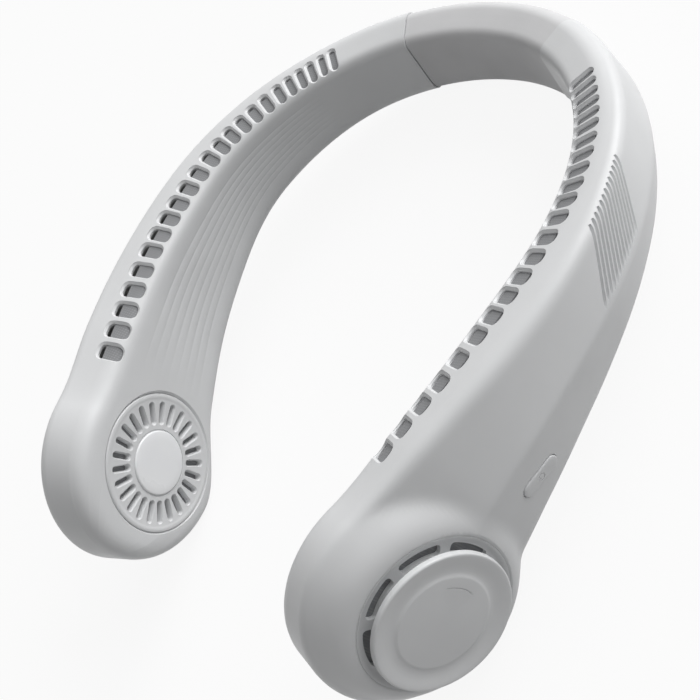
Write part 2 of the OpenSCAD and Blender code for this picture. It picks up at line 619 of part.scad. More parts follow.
// Scroll round the wheel: its radius grows from above the nose, under the wheel, to the arm
scroll_from_angle = -100;
scroll_turn = 225;
scroll_steps = 34;
function scroll_point(i, d) = let (q = i / scroll_steps, a = scroll_from_angle + scroll_turn * q,
    r = scroll_r + scroll_grow * q + d) [r * cos(a), r * sin(a)];
module scroll(side) color([0.8, 0.8, 0.82]) arm(side) on_fan() {
    bottom = flange_end + fit;
    translate([0, 0, bottom]) linear_extrude(height = cover_z - bottom)
        polygon(concat([for (i = [0 : scroll_steps]) scroll_point(i, 0)],
            [for (i = [scroll_steps : -1 : 0]) scroll_point(i, scroll_t)]));
    translate([0, 0, cover_z]) linear_extrude(height = plate_t) difference() {
        polygon([for (i = [0 : scroll_steps]) scroll_point(i, scroll_t)]);
        circle(r = blade_in_r);
    }
}

// Floor of the air duct, a strip across the arm under the vents
duct_drop = 13;
floor_t = 1.2;
function floor_loop(s) = let (c = inset(corners(s), wall + fit), z = vent_z(s) - duct_drop,
    lo = (z - c[0][1]) / (c[1][1] - c[0][1]), hi = (z - c[4][1]) / (c[3][1] - c[4][1]),
    a = c[0][0] + (c[1][0] - c[0][0]) * lo, b = c[4][0] + (c[3][0] - c[4][0]) * hi)
    [place(s, a, z - floor_t), place(s, a, z), place(s, b, z), place(s, b, z - floor_t)];
duct_from = vent_first - vent_l;
duct_to = vent_last - 2 * vent_l;
module duct_floor(side) color([0.8, 0.8, 0.82]) arm(side)
    swept([for (i = [0 : 20]) floor_loop(duct_from + (duct_to - duct_from) * i / 20)]);

// Battery cell under the duct, against the neck-side wall, sloping with the vent line
function duct_under(s) = vent_z(s) - duct_drop - floor_t;
cell_ends = [cell_at - cell_l / 2, cell_at + cell_l / 2];
cell_fall = duct_under(cell_ends[0]) - duct_under(cell_ends[1]);
cell_inset = inset(corners(cell_at), wall);
cell_n = max(cell_inset[0][0], cell_inset[1][0]) + 2 * fit;
module battery(side) color([0.25, 0.45, 0.7]) arm(side) {
    at(cell_at) translate([0, cell_n, duct_under(cell_ends[0]) - cell_fall / 2])
        rotate([0, asin(cell_fall / cell_l), 0])
            translate([-cell_l / 2, 0, -2 * fit - cell_h]) cube([cell_l, cell_t, cell_h]);
}

// Button frame on the lower bevel: z points out of the casing, x along the arm, y down the bevel
function bevel_n(s, z) = let (c = corners(s))
    c[5][0] + (c[4][0] - c[5][0]) * (z - c[5][1]) / (c[4][1] - c[5][1]);
function bevel_at(s, z) = place(s, bevel_n(s, z), z);
button_drop = -bottom_z(button_at) - button_up;
button_x = unit(bevel_at(button_at + button_l / 2, -button_drop)
    - bevel_at(button_at - button_l / 2, -button_drop));
button_down = bevel_at(button_at, -button_drop - button_w) - bevel_at(button_at, -button_drop + button_w);
button_z = unit(cross(button_x, button_down));
button_y = cross(button_z, button_x);
button_o = bevel_at(button_at, -button_drop);
module on_button() {
    multmatrix([for (i = [0 : 2]) [button_x[i], button_y[i], button_z[i], button_o[i]]]) children();
}
module pill(a, r, h) {
    cylinder(r = r, h = h);
    translate([r - a, 0, 0]) cylinder(r = r, h = h);
    translate([a - r, 0, 0]) cylinder(r = r, h = h);
    translate([r - a, -r, 0]) cube([2 * (a - r), 2 * r, h]);
}
flange_gap = 0.35;                             // from the wall to the button's flange
button_flange = 1;
button_stem = 0.8;
plunger_h = 1.6;
switch_h = 3;
switch_w = 6.2;
switch_gap = 0.8;                              // how far the plunger stands out of the switch
flange_z = -wall - flange_gap - button_flange;
stem_z = flange_z - button_stem;
switch_top = stem_z - switch_gap;
board_top = switch_top - switch_h;
board_z = board_top - board_t;
pin_r = 1.5;                                   // radius of the button's stem
plunger_r = 1.7;
plunger_play = 0.06;
board_post_r = 1.5;
post_x = button_l / 2 + button_flange + board_post_r + 2 * fit;
module power_button() color(casing_color) arm("right") on_button() {
    translate([0, 0, flange_z + button_flange / 2]) pill(button_l / 2, button_w / 2,
        button_out - flange_z - button_flange / 2);
    translate([0, 0, flange_z]) pill(button_l / 2 + button_flange, button_w / 2 + button_flange,
        button_flange);
    translate([0, 0, stem_z]) cylinder(r = pin_r, h = button_stem + button_flange / 2);
}
module switch_plunger() color(dark_color) arm("right") on_button()
    translate([0, 0, stem_z - plunger_h]) cylinder(r = plunger_r, h = plunger_h);
module switch_body() color("silver") arm("right") on_button() {
    difference() {
        translate([-switch_w / 2, -switch_w / 2, board_top]) cube([switch_w, switch_w, switch_h]);
        translate([0, 0, stem_z - plunger_h - button_travel - fit])
            cylinder(r = plunger_r + plunger_play, h = plunger_h + switch_h);
    }
}
// A battery cell is as thick as the board's upper edge leaves room for, at the cell's nose end
function in_cell(p) = let (t = turn_at(cell_at), d = [p[0], p[1]] - line_at(cell_at))
    [d * [cos(t), -sin(t)], d * [sin(t), cos(t)]];
board_edge = [for (x = [-board_l, board_l]) in_cell(button_o + button_x * x / 2
    - button_y * board_h / 2 + button_z * board_z)];
board_slope = (board_edge[1] - board_edge[0])[1] / (board_edge[1] - board_edge[0])[0];
cell_t = board_edge[0][1] + board_slope * (cell_l / 2 - board_edge[0][0]) - cell_n - cell_gap;
module circuit_board() color([0.1, 0.4, 0.25]) arm("right") on_button()
    translate([-board_l / 2, -board_h / 2, board_z]) cube([board_l, board_h, board_t]);
module board_posts() color(casing_color) arm("right") on_button()
    for (x = [-post_x, post_x]) translate([x, 0, board_top])
        cylinder(r = board_post_r, h = -wall - flange_gap - fit - board_top);

// Charging socket behind the board, square to the bottom of the casing and flush with it
board_back = button_o + button_z * (board_z - fit) + button_y * board_h / 2;
socket_n = norm([board_back[0], board_back[1]] - line_at(button_at)) - socket_h / 2 - fit;
socket_fall = bottom_z(button_at - socket_w / 2) - bottom_z(button_at + socket_w / 2);
module on_socket() {
    at(button_at) translate([0, socket_n, bottom_z(button_at)])
        rotate([0, atan(socket_fall / socket_w), 0]) rotate([180, 0, 0]) children();
}
module socket_hole() {
    on_socket() translate([0, 0, -socket_d]) pill(socket_w / 2 + fit, socket_h / 2 + fit, 2 * socket_d);
}
module charging_socket() color("silver") arm("right") on_socket() translate([0, 0, -socket_d])
    difference() {
        pill(socket_w / 2, socket_h / 2, socket_d);
        translate([0, 0, socket_t]) pill(socket_w / 2 - socket_t, socket_h / 2 - socket_t, socket_d);
    }
tongue_w = 6.7;
tongue_t = 0.7;
module socket_tongue() color(dark_color) arm("right") on_socket()
    translate([-tongue_w / 2, -tongue_t / 2, socket_t - socket_d])
        cube([tongue_w, tongue_t, socket_d - 4 * socket_t]);

// The band: a sleeve in three lengths round a steel strip and a ribbon cable
channel_w = 4.4;                               // the sleeve's channel, outside the vent line
channel_mid = -13;                             // its middle height
channel_wall = 1;
slit_from = 1.85;                              // the slit for strip and ribbon
slit_to = slit_from + strip_t + ribbon_t + 3 * fit;
function channel_z(h) = [channel_mid - h / 2, channel_mid + h / 2];
module band_length(a, b) color(band_color) rest() {
    z = channel_z(strip_h + 2 * channel_wall);
    difference() {
        swept_section(a, b, band_inset);
        swept_box(a - over, b + over, 0, channel_w, z[0], z[1]);
    }
}
module slit(a, b) {
    z = channel_z(strip_h + 2 * fit);
    swept_box(a, b, slit_from, slit_to, z[0], z[1]);
}
strip_n = slit_from + fit;
ribbon_n = strip_n + strip_t + fit;
core_to = band_half + band_gap + plug_l;
module band_spring(side) color("silver") arm(side) {
    z = channel_z(strip_h);
    swept_box(fit, core_to, strip_n, strip_n + strip_t, z[0], z[1]);
}
module band_ribbon(side) color([0.75, 0.2, 0.15]) arm(side) {
    z = channel_z(ribbon_w);
    swept_box(fit / 2, core_to, ribbon_n, ribbon_n + ribbon_t, z[0], z[1]);
}
module band_clip() color(dark_color) rest() {
    z = channel_z(strip_h + 2 * channel_wall - 2 * fit);
    difference() {
        swept_box(fit - band_mid, band_mid - fit, fit, channel_w - fit, z[0], z[1]);
        slit(-band_mid - over, band_mid + over);
    }
}
module band_plug(side) color(dark_color) arm(side) {
    a = band_half + band_gap;
    difference() {
        swept_section(a, a + plug_l, wall + fit);
        slit(a - over, a + plug_l + over);
    }
}

band_length(-band_mid, band_mid);  // band_center
mirror([1, 0, 0]) band_length(band_mid, band_half);  // left_band_sleeve
band_length(band_mid, band_half);  // right_band_sleeve
band_spring("left");  // left_band_spring
band_spring("right");  // right_band_spring
band_ribbon("left");  // left_band_ribbon
band_ribbon("right");  // right_band_ribbon
band_clip();
inner_shell("left");  // left_inner_shell
outer_shell("left");  // left_outer_shell
band_plug("left");  // left_band_plug
duct_floor("left");  // left_duct_floor
scroll("left");  // left_scroll
grille("left");  // left_grille
grille_disc("left");  // left_grille_disc
intake_bezel("left");  // left_intake_bezel
cap("left");  // left_cap
fan_wheel("left");  // left_fan_wheel
rotor_cup("left");  // left_rotor_cup
magnet_ring("left");  // left_magnet_ring
shaft("left");  // left_shaft
bearing("left");  // left_bearing
stator("left");  // left_stator
coils("left");  // left_coils
motor_base("left");  // left_motor_base
motor_screws("left");  // left_motor_screws
battery("left");  // left_battery
inner_shell("right");  // right_inner_shell
outer_shell("right");  // right_outer_shell
band_plug("right");  // right_band_plug
duct_floor("right");  // right_duct_floor
scroll("right");  // right_scroll
grille("right");  // right_grille
grille_disc("right");  // right_grille_disc
intake_bezel("right");  // right_intake_bezel
cap("right");  // right_cap
fan_wheel("right");  // right_fan_wheel
rotor_cup("right");  // right_rotor_cup
magnet_ring("right");  // right_magnet_ring
shaft("right");  // right_shaft
bearing("right");  // right_bearing
stator("right");  // right_stator
coils("right");  // right_coils
motor_base("right");  // right_motor_base
motor_screws("right");  // right_motor_screws
battery("right");  // right_battery
circuit_board();
charging_socket();
socket_tongue();
power_button();
switch_body();
switch_plunger();
board_posts();
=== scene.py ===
"""Looks of an electric neck fan: two hollow arms joined by a bending band behind the neck.

The casing, band, grilles, intake rings, caps and button are modelled again in full detail round
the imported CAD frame. Shapes are worked out in millimetres on the fan as it is worn (z up, zero on
the vent line behind the neck) and then laid in the pose in which it rests on a table, in metres.
"""

import bisect
import json
import logging
import math
from dataclasses import dataclass
from enum import Enum
from typing import Any, Iterable, Sequence

import bmesh
import bpy
from mathutils import Matrix, Vector


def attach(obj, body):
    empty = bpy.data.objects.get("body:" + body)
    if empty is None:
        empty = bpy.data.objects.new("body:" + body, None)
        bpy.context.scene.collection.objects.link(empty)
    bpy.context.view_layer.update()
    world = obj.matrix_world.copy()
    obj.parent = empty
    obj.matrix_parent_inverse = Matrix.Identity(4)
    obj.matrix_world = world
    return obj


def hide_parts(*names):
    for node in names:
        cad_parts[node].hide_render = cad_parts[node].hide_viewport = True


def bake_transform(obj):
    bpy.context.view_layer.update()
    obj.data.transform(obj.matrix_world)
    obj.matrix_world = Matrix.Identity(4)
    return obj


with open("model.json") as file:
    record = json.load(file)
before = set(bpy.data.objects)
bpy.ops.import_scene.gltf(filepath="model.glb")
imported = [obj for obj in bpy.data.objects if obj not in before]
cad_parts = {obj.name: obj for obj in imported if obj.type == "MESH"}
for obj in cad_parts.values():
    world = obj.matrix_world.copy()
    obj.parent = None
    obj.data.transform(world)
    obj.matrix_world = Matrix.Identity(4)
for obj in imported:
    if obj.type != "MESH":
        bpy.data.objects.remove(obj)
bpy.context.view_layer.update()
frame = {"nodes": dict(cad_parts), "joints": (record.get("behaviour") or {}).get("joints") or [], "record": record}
LOG = logging.getLogger("neck_fan")
MM = 0.001
Row = list[Vector]


class Side(Enum):
    """The two arms, by the hand that they lie on when the fan is worn."""

    LEFT = "left"
    RIGHT = "right"


# ---- Plan and sections, the same named values as in the part's source ----


@dataclass(frozen=True)
class Plan:
    """The vent line seen from above, from the middle of the back to the nose."""

    neck_r: float = 82.6
    neck_turn: float = math.radians(92)
    arm_r: float = 178.0
    arm_bend: float = 44.0
    fan_at: float = 220.3

    def turn_at(self, s: float) -> float:
        """Angle that the line has turned through.

        Args:
            s: distance along the vent line.

        Returns:
            The angle in radians.
        """
        back = self.neck_r * self.neck_turn
        if s < back:
            return s / self.neck_r
        return self.neck_turn + min(s - back, self.arm_bend) / self.arm_r

    def line_at(self, s: float) -> tuple[float, float]:
        """Point of the vent line.

        Args:
            s: distance along the vent line.

        Returns:
            The point (x, y).
        """
        back = self.neck_r * self.neck_turn
        q, t = self.turn_at(min(s, back)), self.turn_at(s)
        rest = max(s - back - self.arm_bend, 0.0)
        x, y = self.neck_r * math.sin(q), self.neck_r * (math.cos(q) - 1)
        if s > back:
            x += self.arm_r * (math.sin(t) - math.sin(self.neck_turn)) + rest * math.cos(t)
            y += self.arm_r * (math.cos(t) - math.cos(self.neck_turn)) - rest * math.sin(t)
        return x, y

    def along(self, s: float) -> Vector:
        """Direction along the arm, towards the nose."""
        t = self.turn_at(s)
        return Vector((math.cos(t), -math.sin(t), 0.0))

    def outward(self, s: float) -> Vector:
        """Direction away from the neck."""
        t = self.turn_at(s)
        return Vector((math.sin(t), math.cos(t), 0.0))

    def place(self, s: float, n: float, z: float) -> Vector:
        """Point beside the vent line.

        Args:
            s: distance along the vent line.
            n: distance outwards of the line.
            z: height.

        Returns:
            The point.
        """
        x, y = self.line_at(s)
        t = self.turn_at(s)
        return Vector((x + n * math.sin(t), y + n * math.cos(t), z))


@dataclass(frozen=True)
class Columns:
    """How finely a section is drawn: steps round each corner and along each side."""

    arcs: tuple[int, ...] = (6, 10, 6, 14, 4, 8)
    facet: int = 3
    top: int = 4
    outer: int = 26
    bevel: int = 18
    bottom: int = 4
    inner: int = 4
    lines: int = 8


FINE = Columns()
COARSE = Columns((3, 3, 1, 6, 2, 3), 1, 1, 7, 6, 2, 4, 0)
SCREEN = Columns((1, 10, 2, 1, 1, 1), 4, 1, 1, 1, 1, 4, 0)


@dataclass(frozen=True)
class Casing:
    """Cross-sections of an arm, as values at six stations between the back and the fan's axis."""

    plan: Plan = Plan()
    station_shares: tuple[float, ...] = (0, 0.25, 0.477, 0.681, 0.862, 1)
    vent_drop: float = 9.5
    pod_depth: float = 72.8
    inner_reach: float = 4.6
    outer_reach: float = 20.0
    crease_drop: float = 42.8
    top_joint: float = 5.5
    vent: tuple[float, ...] = (0.02, 0.12, 0.17, -0.01, -0.43, -0.83)
    bottom: tuple[float, ...] = (0.359, 0.354, 0.412, 0.573, 0.766, 1)
    bottom_in: tuple[float, ...] = (1.35, 1.09, 0.87, 0.9, 1, 1)
    top_in: tuple[float, ...] = (1.33, 1.2, 1.3, 1.45, 1.2, 1)
    top_out: tuple[float, ...] = (0.48, 0.52, 0.63, 0.745, 0.735, 0.66)
    top_fall: tuple[float, ...] = (0.22, 0.06, -0.2, -0.235, -0.56, -0.63)
    crease_out: tuple[float, ...] = (0.545, 0.62, 0.73, 0.95, 1.1, 1)
    crease: tuple[float, ...] = (0.315, 0.339, 0.369, 0.46, 0.666, 1)
    bottom_out: tuple[float, ...] = (0.345, 0.43, 0.54, 0.66, 0.9, 0.95)
    # most of a side that the rounding of each corner may take
    round_limits: tuple[float, ...] = (0.48, 0.55, 0.4, 0.48, 0.48, 0.48)
    round_shares: tuple[float, ...] = (0.7, 0.7, 0.7, 0.8, 0.9, 1)
    inner_shares: tuple[float, ...] = (0.46, 0.46, 0.48, 0.52, 0.7, 1)
    top_round: float = 6.0
    inner_round: float = 7.5
    joint_round: float = 3.5
    bottom_round: float = 6.5
    crease_round: float = 1.4
    wall: float = 1.8
    vent_slope: float = math.radians(14)
    nose_len: float = 34.7
    axis_drop: float = 42.0
    back_end: float = 34.3
    line_from: float = 70.0
    line_to: float = 204.0
    line_fades: tuple[float, float] = (14.0, 40.0)
    line_first: float = 0.13
    line_span: float = 0.74
    line_half: float = 0.28
    line_sink: float = 0.09
    flare_from: float = 11.0
    flare_blend: float = 4.0
    flare_run: float = 60.0
    flare_r: float = 24.5
    flare_top: float = 21.9
    flare_fall: float = 0.065
    flare_fall_below: float = 0.135
    flare_soft: float = 3.0
    flare_lift: float = 0.5

    def curve(self, values: Sequence[float], s: float) -> float:
        """Smooth curve through the stations' values, flat at both ends.

        Args:
            values: one value for each station.
            s: distance along the vent line.

        Returns:
            The value at s.
        """
        xs = [q * self.plan.fan_at for q in self.station_shares]
        s = min(max(s, xs[0]), xs[-1])
        i = min(bisect.bisect_right(xs, s) - 1, len(xs) - 2)
        steps = [(values[k + 1] - values[k]) / (xs[k + 1] - xs[k]) for k in range(len(xs) - 1)]

        def slope(k: int) -> float:
            """Slope between those of the two sides of a station.

            Args:
                k: the station's number.

            Returns:
                The slope, or 0 where the values turn.
            """
            if k in (0, len(xs) - 1) or steps[k - 1] * steps[k] <= 0:
                return 0.0
            return 2 * steps[k - 1] * steps[k] / (steps[k - 1] + steps[k])

        h = xs[i + 1] - xs[i]
        t = (s - xs[i]) / h
        return ((2 * t**3 - 3 * t**2 + 1) * values[i] + (t**3 - 2 * t**2 + t) * h * slope(i)
                + (3 * t**2 - 2 * t**3) * values[i + 1] + (t**3 - t**2) * h * slope(i + 1))

    def vent_z(self, s: float) -> float:
        """Height of the vent line."""
        return self.vent_drop * self.curve(self.vent, s)

    def bottom_z(self, s: float) -> float:
        """Height of the casing's bottom."""
        return -self.pod_depth * self.curve(self.bottom, s)

    def corners(self, s: float) -> list[Vector]:
        """Corners (n, z) of the section.

        Args:
            s: distance along the vent line.

        Returns:
            The corners: bottom inner, top inner, joint, top outer, crease and bottom outer.
        """
        z, b, rise = self.vent_z(s), self.bottom_z(s), math.tan(self.vent_slope)
        inner = -self.inner_reach * self.curve(self.top_in, s)
        return [Vector(c) for c in (
            (-self.inner_reach * self.curve(self.bottom_in, s), b),
            (inner, z + rise * inner),
            (self.top_joint, z + rise * self.top_joint),
            (self.outer_reach * self.curve(self.top_out, s),
             z - self.top_joint * self.curve(self.top_fall, s)),
            (self.outer_reach * self.curve(self.crease_out, s),
             -self.crease_drop * self.curve(self.crease, s)),
            (self.outer_reach * self.curve(self.bottom_out, s), b))]

    @staticmethod
    def inset(corners: list[Vector], d: float) -> list[Vector]:
        """Moves a section's sides inwards.

        Args:
            corners: the corners of a section.
            d: how far each side moves.

        Returns:
            The moved corners.
        """
        moved = []
        for i, p in enumerate(corners):
            u = (p - corners[i - 1]).normalized()
            w = (corners[(i + 1) % len(corners)] - p).normalized()
            m, k = Vector((u.y, -u.x)), Vector((w.y, -w.x))
            moved.append(p + d * (m + k) / (1 + m.dot(k)))
        return moved

    def radii(self, s: float, d: float) -> tuple[float, ...]:
        """Roundings of the section's corners.

        Args:
            s: distance along the vent line.
            d: inset of the section.

        Returns:
            One radius for each corner.
        """
        soft = self.top_round * self.curve(self.round_shares, s) - d
        inner = self.inner_round * self.curve(self.inner_shares, s) - d / 2
        return (self.bottom_round - d / 2, inner, self.joint_round, soft, self.crease_round,
                self.bottom_round - d / 2)

    def fine_lines(self, s: float, columns: Columns) -> list[tuple[float, float, float]]:
        """Places along the inner side, with the fine lines moulded into it.

        Args:
            s: distance along the vent line.
            columns: how finely the section is drawn.

        Returns:
            For each column its share of the side, its shift and its sink, both in millimetres.
        """
        fade = (smooth_step((s - self.line_from) / self.line_fades[0])
                * smooth_step((self.line_to - s) / self.line_fades[1]))
        places = []
        for i in range(columns.lines):
            share = self.line_first + self.line_span * i / (columns.lines - 1)
            places += [(share, -self.line_half, 0.0), (share, 0.0, self.line_sink * fade),
                       (share, self.line_half, 0.0)]
        if not columns.lines:
            places = [(i / columns.inner, 0.0, 0.0) for i in range(1, columns.inner)]
        return places

    def outline(self, s: float, d: float, columns: Columns) -> list[tuple[float, float]]:
        """Closed outline of the section.

        Args:
            s: distance along the vent line.
            d: inset of the section.
            columns: how finely the section is drawn.

        Returns:
            The points (n, z), clockwise from the bottom inner corner.
        """
        c = self.inset(self.corners(s), d)
        radii = self.radii(s, d)
        count = len(c)
        ends = []
        for i, p in enumerate(c):
            a, b = c[i - 1], c[(i + 1) % count]
            share = self.round_limits[i]
            r = min(radii[i], share * (a - p).length, share * (b - p).length)
            ends.append((p + r * (a - p).normalized(), p + r * (b - p).normalized()))
        sides = [None, columns.facet, columns.top, columns.outer, columns.bevel, columns.bottom]
        points: list[tuple[float, float]] = []
        for i, p in enumerate(c):
            q, w = ends[i]
            steps = columns.arcs[i]
            for k in range(steps + 1):
                t = k / steps
                points.append(tuple((1 - t) ** 2 * q + 2 * t * (1 - t) * p + t**2 * w))
            nxt = ends[(i + 1) % count][0]
            way = (nxt - w).normalized()
            inward = Vector((way.y, -way.x))
            stops = (self.fine_lines(s, columns) if i == 0
                     else [(k / sides[i], 0.0, 0.0) for k in range(1, sides[i])])
            for share, shift, sink in stops:
                points.append(tuple(w.lerp(nxt, share) + way * shift + inward * sink))
        return points

    def rim_height(self, x: float, z: float) -> float:
        """Height of the flare that runs from the outer face up to the intake's lip.

        Args:
            x: distance from the fan's axis towards the nose.
            z: distance above the axis.

        Returns:
            How far out the flare stands.
        """
        r = math.hypot(x, z)
        down = (1 - z / max(r, 1e-6)) / 2
        fall = self.flare_fall + self.flare_fall_below * down**2
        return self.flare_top - fall * max(r - self.flare_r, 0.0) ** 2

    def nose(self, q: float, d: float, columns: Columns) -> list[tuple[float, float]]:
        """The fan's section carried round the nose, with its rounded edges all the way round.

        Args:
            q: how far towards the tip, from 0 at the fan's axis to 1.
            d: inset of the section.
            columns: how finely the section is drawn.

        Returns:
            The outline (n, z).
        """
        fan = self.plan.fan_at
        outline = self.outline(fan, d, columns)
        # the height that the section keeps at q, as a share of its height at the fan's axis
        squeeze = math.sqrt(max(0.0, 1 - q * q))
        c = self.inset(self.corners(fan), d)
        middle = (self.vent_z(fan) + math.tan(self.vent_slope) * self.top_joint
                  + self.bottom_z(fan)) / 2
        slope = (c[3].y - c[1].y) / (c[3].x - c[1].x)
        sides = (3 * columns.lines or columns.inner - 1, columns.facet - 1, columns.top - 1,
                 columns.outer - 1, columns.bevel - 1)
        # index after each corner's last point, and the first and last point of the two faces
        ends = [sum(columns.arcs[:i + 1]) + i + 1 + sum(sides[:i]) for i in range(6)]
        inner = (0, ends[1] - 1)
        outer = (ends[3] - 1 - columns.arcs[3], ends[5] - 1)
        # how high each point stands in the section, from -1 on the bottom to 1 on the top
        level = []
        for i, (n, z) in enumerate(outline):
            top = c[1].y + slope * (n - c[1].x)
            share = (z - middle) / (top - middle if z > middle else middle - c[0].y)
            on_top, on_bottom = inner[1] <= i <= outer[0], i >= outer[1] or i == 0
            level.append(1.0 if on_top else -1.0 if on_bottom else max(-1.0, min(1.0, share)))

        def side(first: int, last: int, at: float) -> float:
            """Finds where one side of the section is at a level.

            Args:
                first: the side's first point.
                last: the side's last point.
                at: the level.

            Returns:
                Its distance outwards of the vent line.
            """
            sign = 1 if level[last] > level[first] else -1
            i = bisect.bisect_left(level, sign * at, first, last, key=lambda v: sign * v)
            i = max(first + 1, min(i, last))
            low, high = level[i - 1], level[i]
            f = (at - low) / (high - low) if high != low else 1.0
            return outline[i - 1][0] + (outline[i][0] - outline[i - 1][0]) * max(0.0, min(1.0, f))

        points = []
        for i, (n, z) in enumerate(outline):
            rho = math.sqrt(q * q + (squeeze * level[i]) ** 2)
            up = (1 + squeeze * level[i] / max(rho, 1e-9)) / 2
            near = up * side(*inner, rho) + (1 - up) * side(*inner, -rho)
            far = up**2 * side(*outer, rho) + (1 - up**2) * side(*outer, -rho)
            if abs(level[i]) == 1:
                a, b = (side(*path, level[i]) for path in (inner, outer))
                n = near + (far - near) * (n - a) / (b - a)
            else:
                n = near if i < inner[1] else far
            points.append((n, middle + (z - middle) * squeeze))
        return points

    def ring(self, s: float, d: float, columns: Columns) -> Row:
        """The section in space; beyond the fan's axis it closes towards the nose's tip.

        Args:
            s: distance along the vent line.
            d: inset of the section.
            columns: how finely the section is drawn.

        Returns:
            The closed row of points.
        """
        fan = self.plan.fan_at
        q = (s - fan) / (self.nose_len - d)
        row = []
        for n, z in self.nose(q, d, columns) if q > 0 else self.outline(s, d, columns):
            if d == 0 and n > self.flare_from and s > fan - self.flare_run:
                rim = self.rim_height(s - fan, z + self.axis_drop)
                near = max(self.flare_soft - abs(n - rim), 0.0) / self.flare_soft
                flared = max(n, rim) + near * near * self.flare_lift
                n += (flared - n) * smooth_step((n - self.flare_from) / self.flare_blend)
            row.append(self.plan.place(s, n, z))
        return row


def smooth_step(t: float) -> float:
    """0 below 0, 1 above 1, and a smooth way between."""
    t = min(max(t, 0.0), 1.0)
    return t * t * (3 - 2 * t)


def spaced(start: float, end: float, step: float) -> list[float]:
    """Evenly spaced values from start to end, no further apart than step."""
    count = max(1, math.ceil((end - start) / step - 1e-9))
    return [start + (end - start) * i / count for i in range(count + 1)]


def rest_matrix() -> Matrix:
    """Turns millimetres of the worn fan into metres of the fan as it rests on the table.

    Returns:
        The matrix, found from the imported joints: the band's hinge stands upright when the fan is
        worn, and the fan's axis goes through a known point.
    """
    joints = {j["name"]: j for j in frame["joints"]}
    axis = Vector(joints["right_flex"]["axis"])
    lean = math.atan2(axis.y, axis.z)
    turn = Matrix.Rotation(-lean, 4, "X")
    casing, joint_out = Casing(), 6.0
    on_axis = casing.plan.place(casing.plan.fan_at, joint_out, -casing.axis_drop)
    shift = Vector(joints["right_fan_spin"]["pos_m"]) - (turn @ on_axis) * MM
    return Matrix.Translation(Vector((0, shift.y, shift.z))) @ turn @ Matrix.Scale(MM, 4)


REST = rest_matrix()
MIRROR = Matrix.Scale(-1, 4, Vector((1, 0, 0)))
UNMOVED = Matrix.Identity(4)


def fan_matrix() -> Matrix:
    """Frame of the right fan, with its zero on the vent line.

    Returns:
        The matrix, with x towards the nose, y down and z away from the neck.
    """
    casing = Casing()
    plan, at = casing.plan, casing.plan.fan_at
    turn = Matrix((plan.along(at), (0, 0, -1), plan.outward(at))).transposed()
    return Matrix.Translation(plan.place(at, 0.0, -casing.axis_drop)) @ turn.to_4x4()


# ---- Mesh work ----


def surface(bm: bmesh.types.BMesh, rows: Sequence[Row]) -> None:
    """Lays a grid through rows of points and joins its two long edges.

    Args:
        bm: the mesh that gets the grid.
        rows: closed rows with the same number of points each.
    """
    nu, nv = len(rows) - 1, len(rows[0])
    made = bmesh.ops.create_grid(bm, x_segments=nu, y_segments=nv, size=1.0)["verts"]
    seam = []
    for v in made:
        i, j = round((v.co.x + 1) / 2 * nu), round((v.co.y + 1) / 2 * nv)
        v.co = rows[i][j % nv]
        if j in (0, nv):
            seam.append(v)
    bmesh.ops.remove_doubles(bm, verts=seam, dist=1e-5)


def open_edges(bm: bmesh.types.BMesh) -> list:
    """Edges that still have only one face."""
    return [e for e in bm.edges if e.is_boundary]


def loft(bm: bmesh.types.BMesh, rows: Sequence[Row]) -> None:
    """Adds a closed body through loops of points.

    Args:
        bm: the mesh that gets the body.
        rows: its loops, from one end to the other.
    """
    before = set(bm.verts)
    surface(bm, rows)
    own = [e for e in open_edges(bm) if e.verts[0] not in before]
    bmesh.ops.holes_fill(bm, edges=own, sides=0)


def outward(bm: bmesh.types.BMesh) -> None:
    """Turns every face of closed bodies outwards.

    Args:
        bm: the mesh.
    """
    bmesh.ops.recalc_face_normals(bm, faces=bm.faces[:])
    if bm.calc_volume(signed=True) < 0:
        bmesh.ops.reverse_faces(bm, faces=bm.faces[:])


def turned(profile: Sequence[tuple[float, float]], steps: int) -> bmesh.types.BMesh:
    """Spins a closed profile round the z axis.

    Args:
        profile: its points (radius, height).
        steps: the number of steps in the full turn.

    Returns:
        The closed body.
    """
    bm = bmesh.new()
    verts = [bm.verts.new((r, 0.0, z)) for r, z in profile]
    edges = [bm.edges.new((verts[i - 1], v)) for i, v in enumerate(verts)]
    bmesh.ops.spin(bm, geom=verts + edges, cent=(0, 0, 0), axis=(0, 0, 1), angle=math.tau,
                   steps=steps, use_merge=True)
    bmesh.ops.remove_doubles(bm, verts=bm.verts[:], dist=1e-4)
    bmesh.ops.dissolve_degenerate(bm, dist=1e-5, edges=bm.edges[:])
    outward(bm)
    return bm


def pill(half_l: float, half_w: float, levels: Iterable[tuple[float, float]]) -> list[Row]:
    """Loops of a slot or button with round ends.

    Args:
        half_l: half its length.
        half_w: half its width.
        levels: height and growth of each loop.

    Returns:
        The loops.
    """
    steps, straight = 8, half_l - half_w
    ends = [(end * straight, math.radians(start + 180 * k / steps))
            for end, start in ((1, -90), (-1, 90)) for k in range(steps + 1)]
    return [[Vector((x + (half_w + grow) * math.cos(a), (half_w + grow) * math.sin(a), z))
             for x, a in ends] for z, grow in levels]


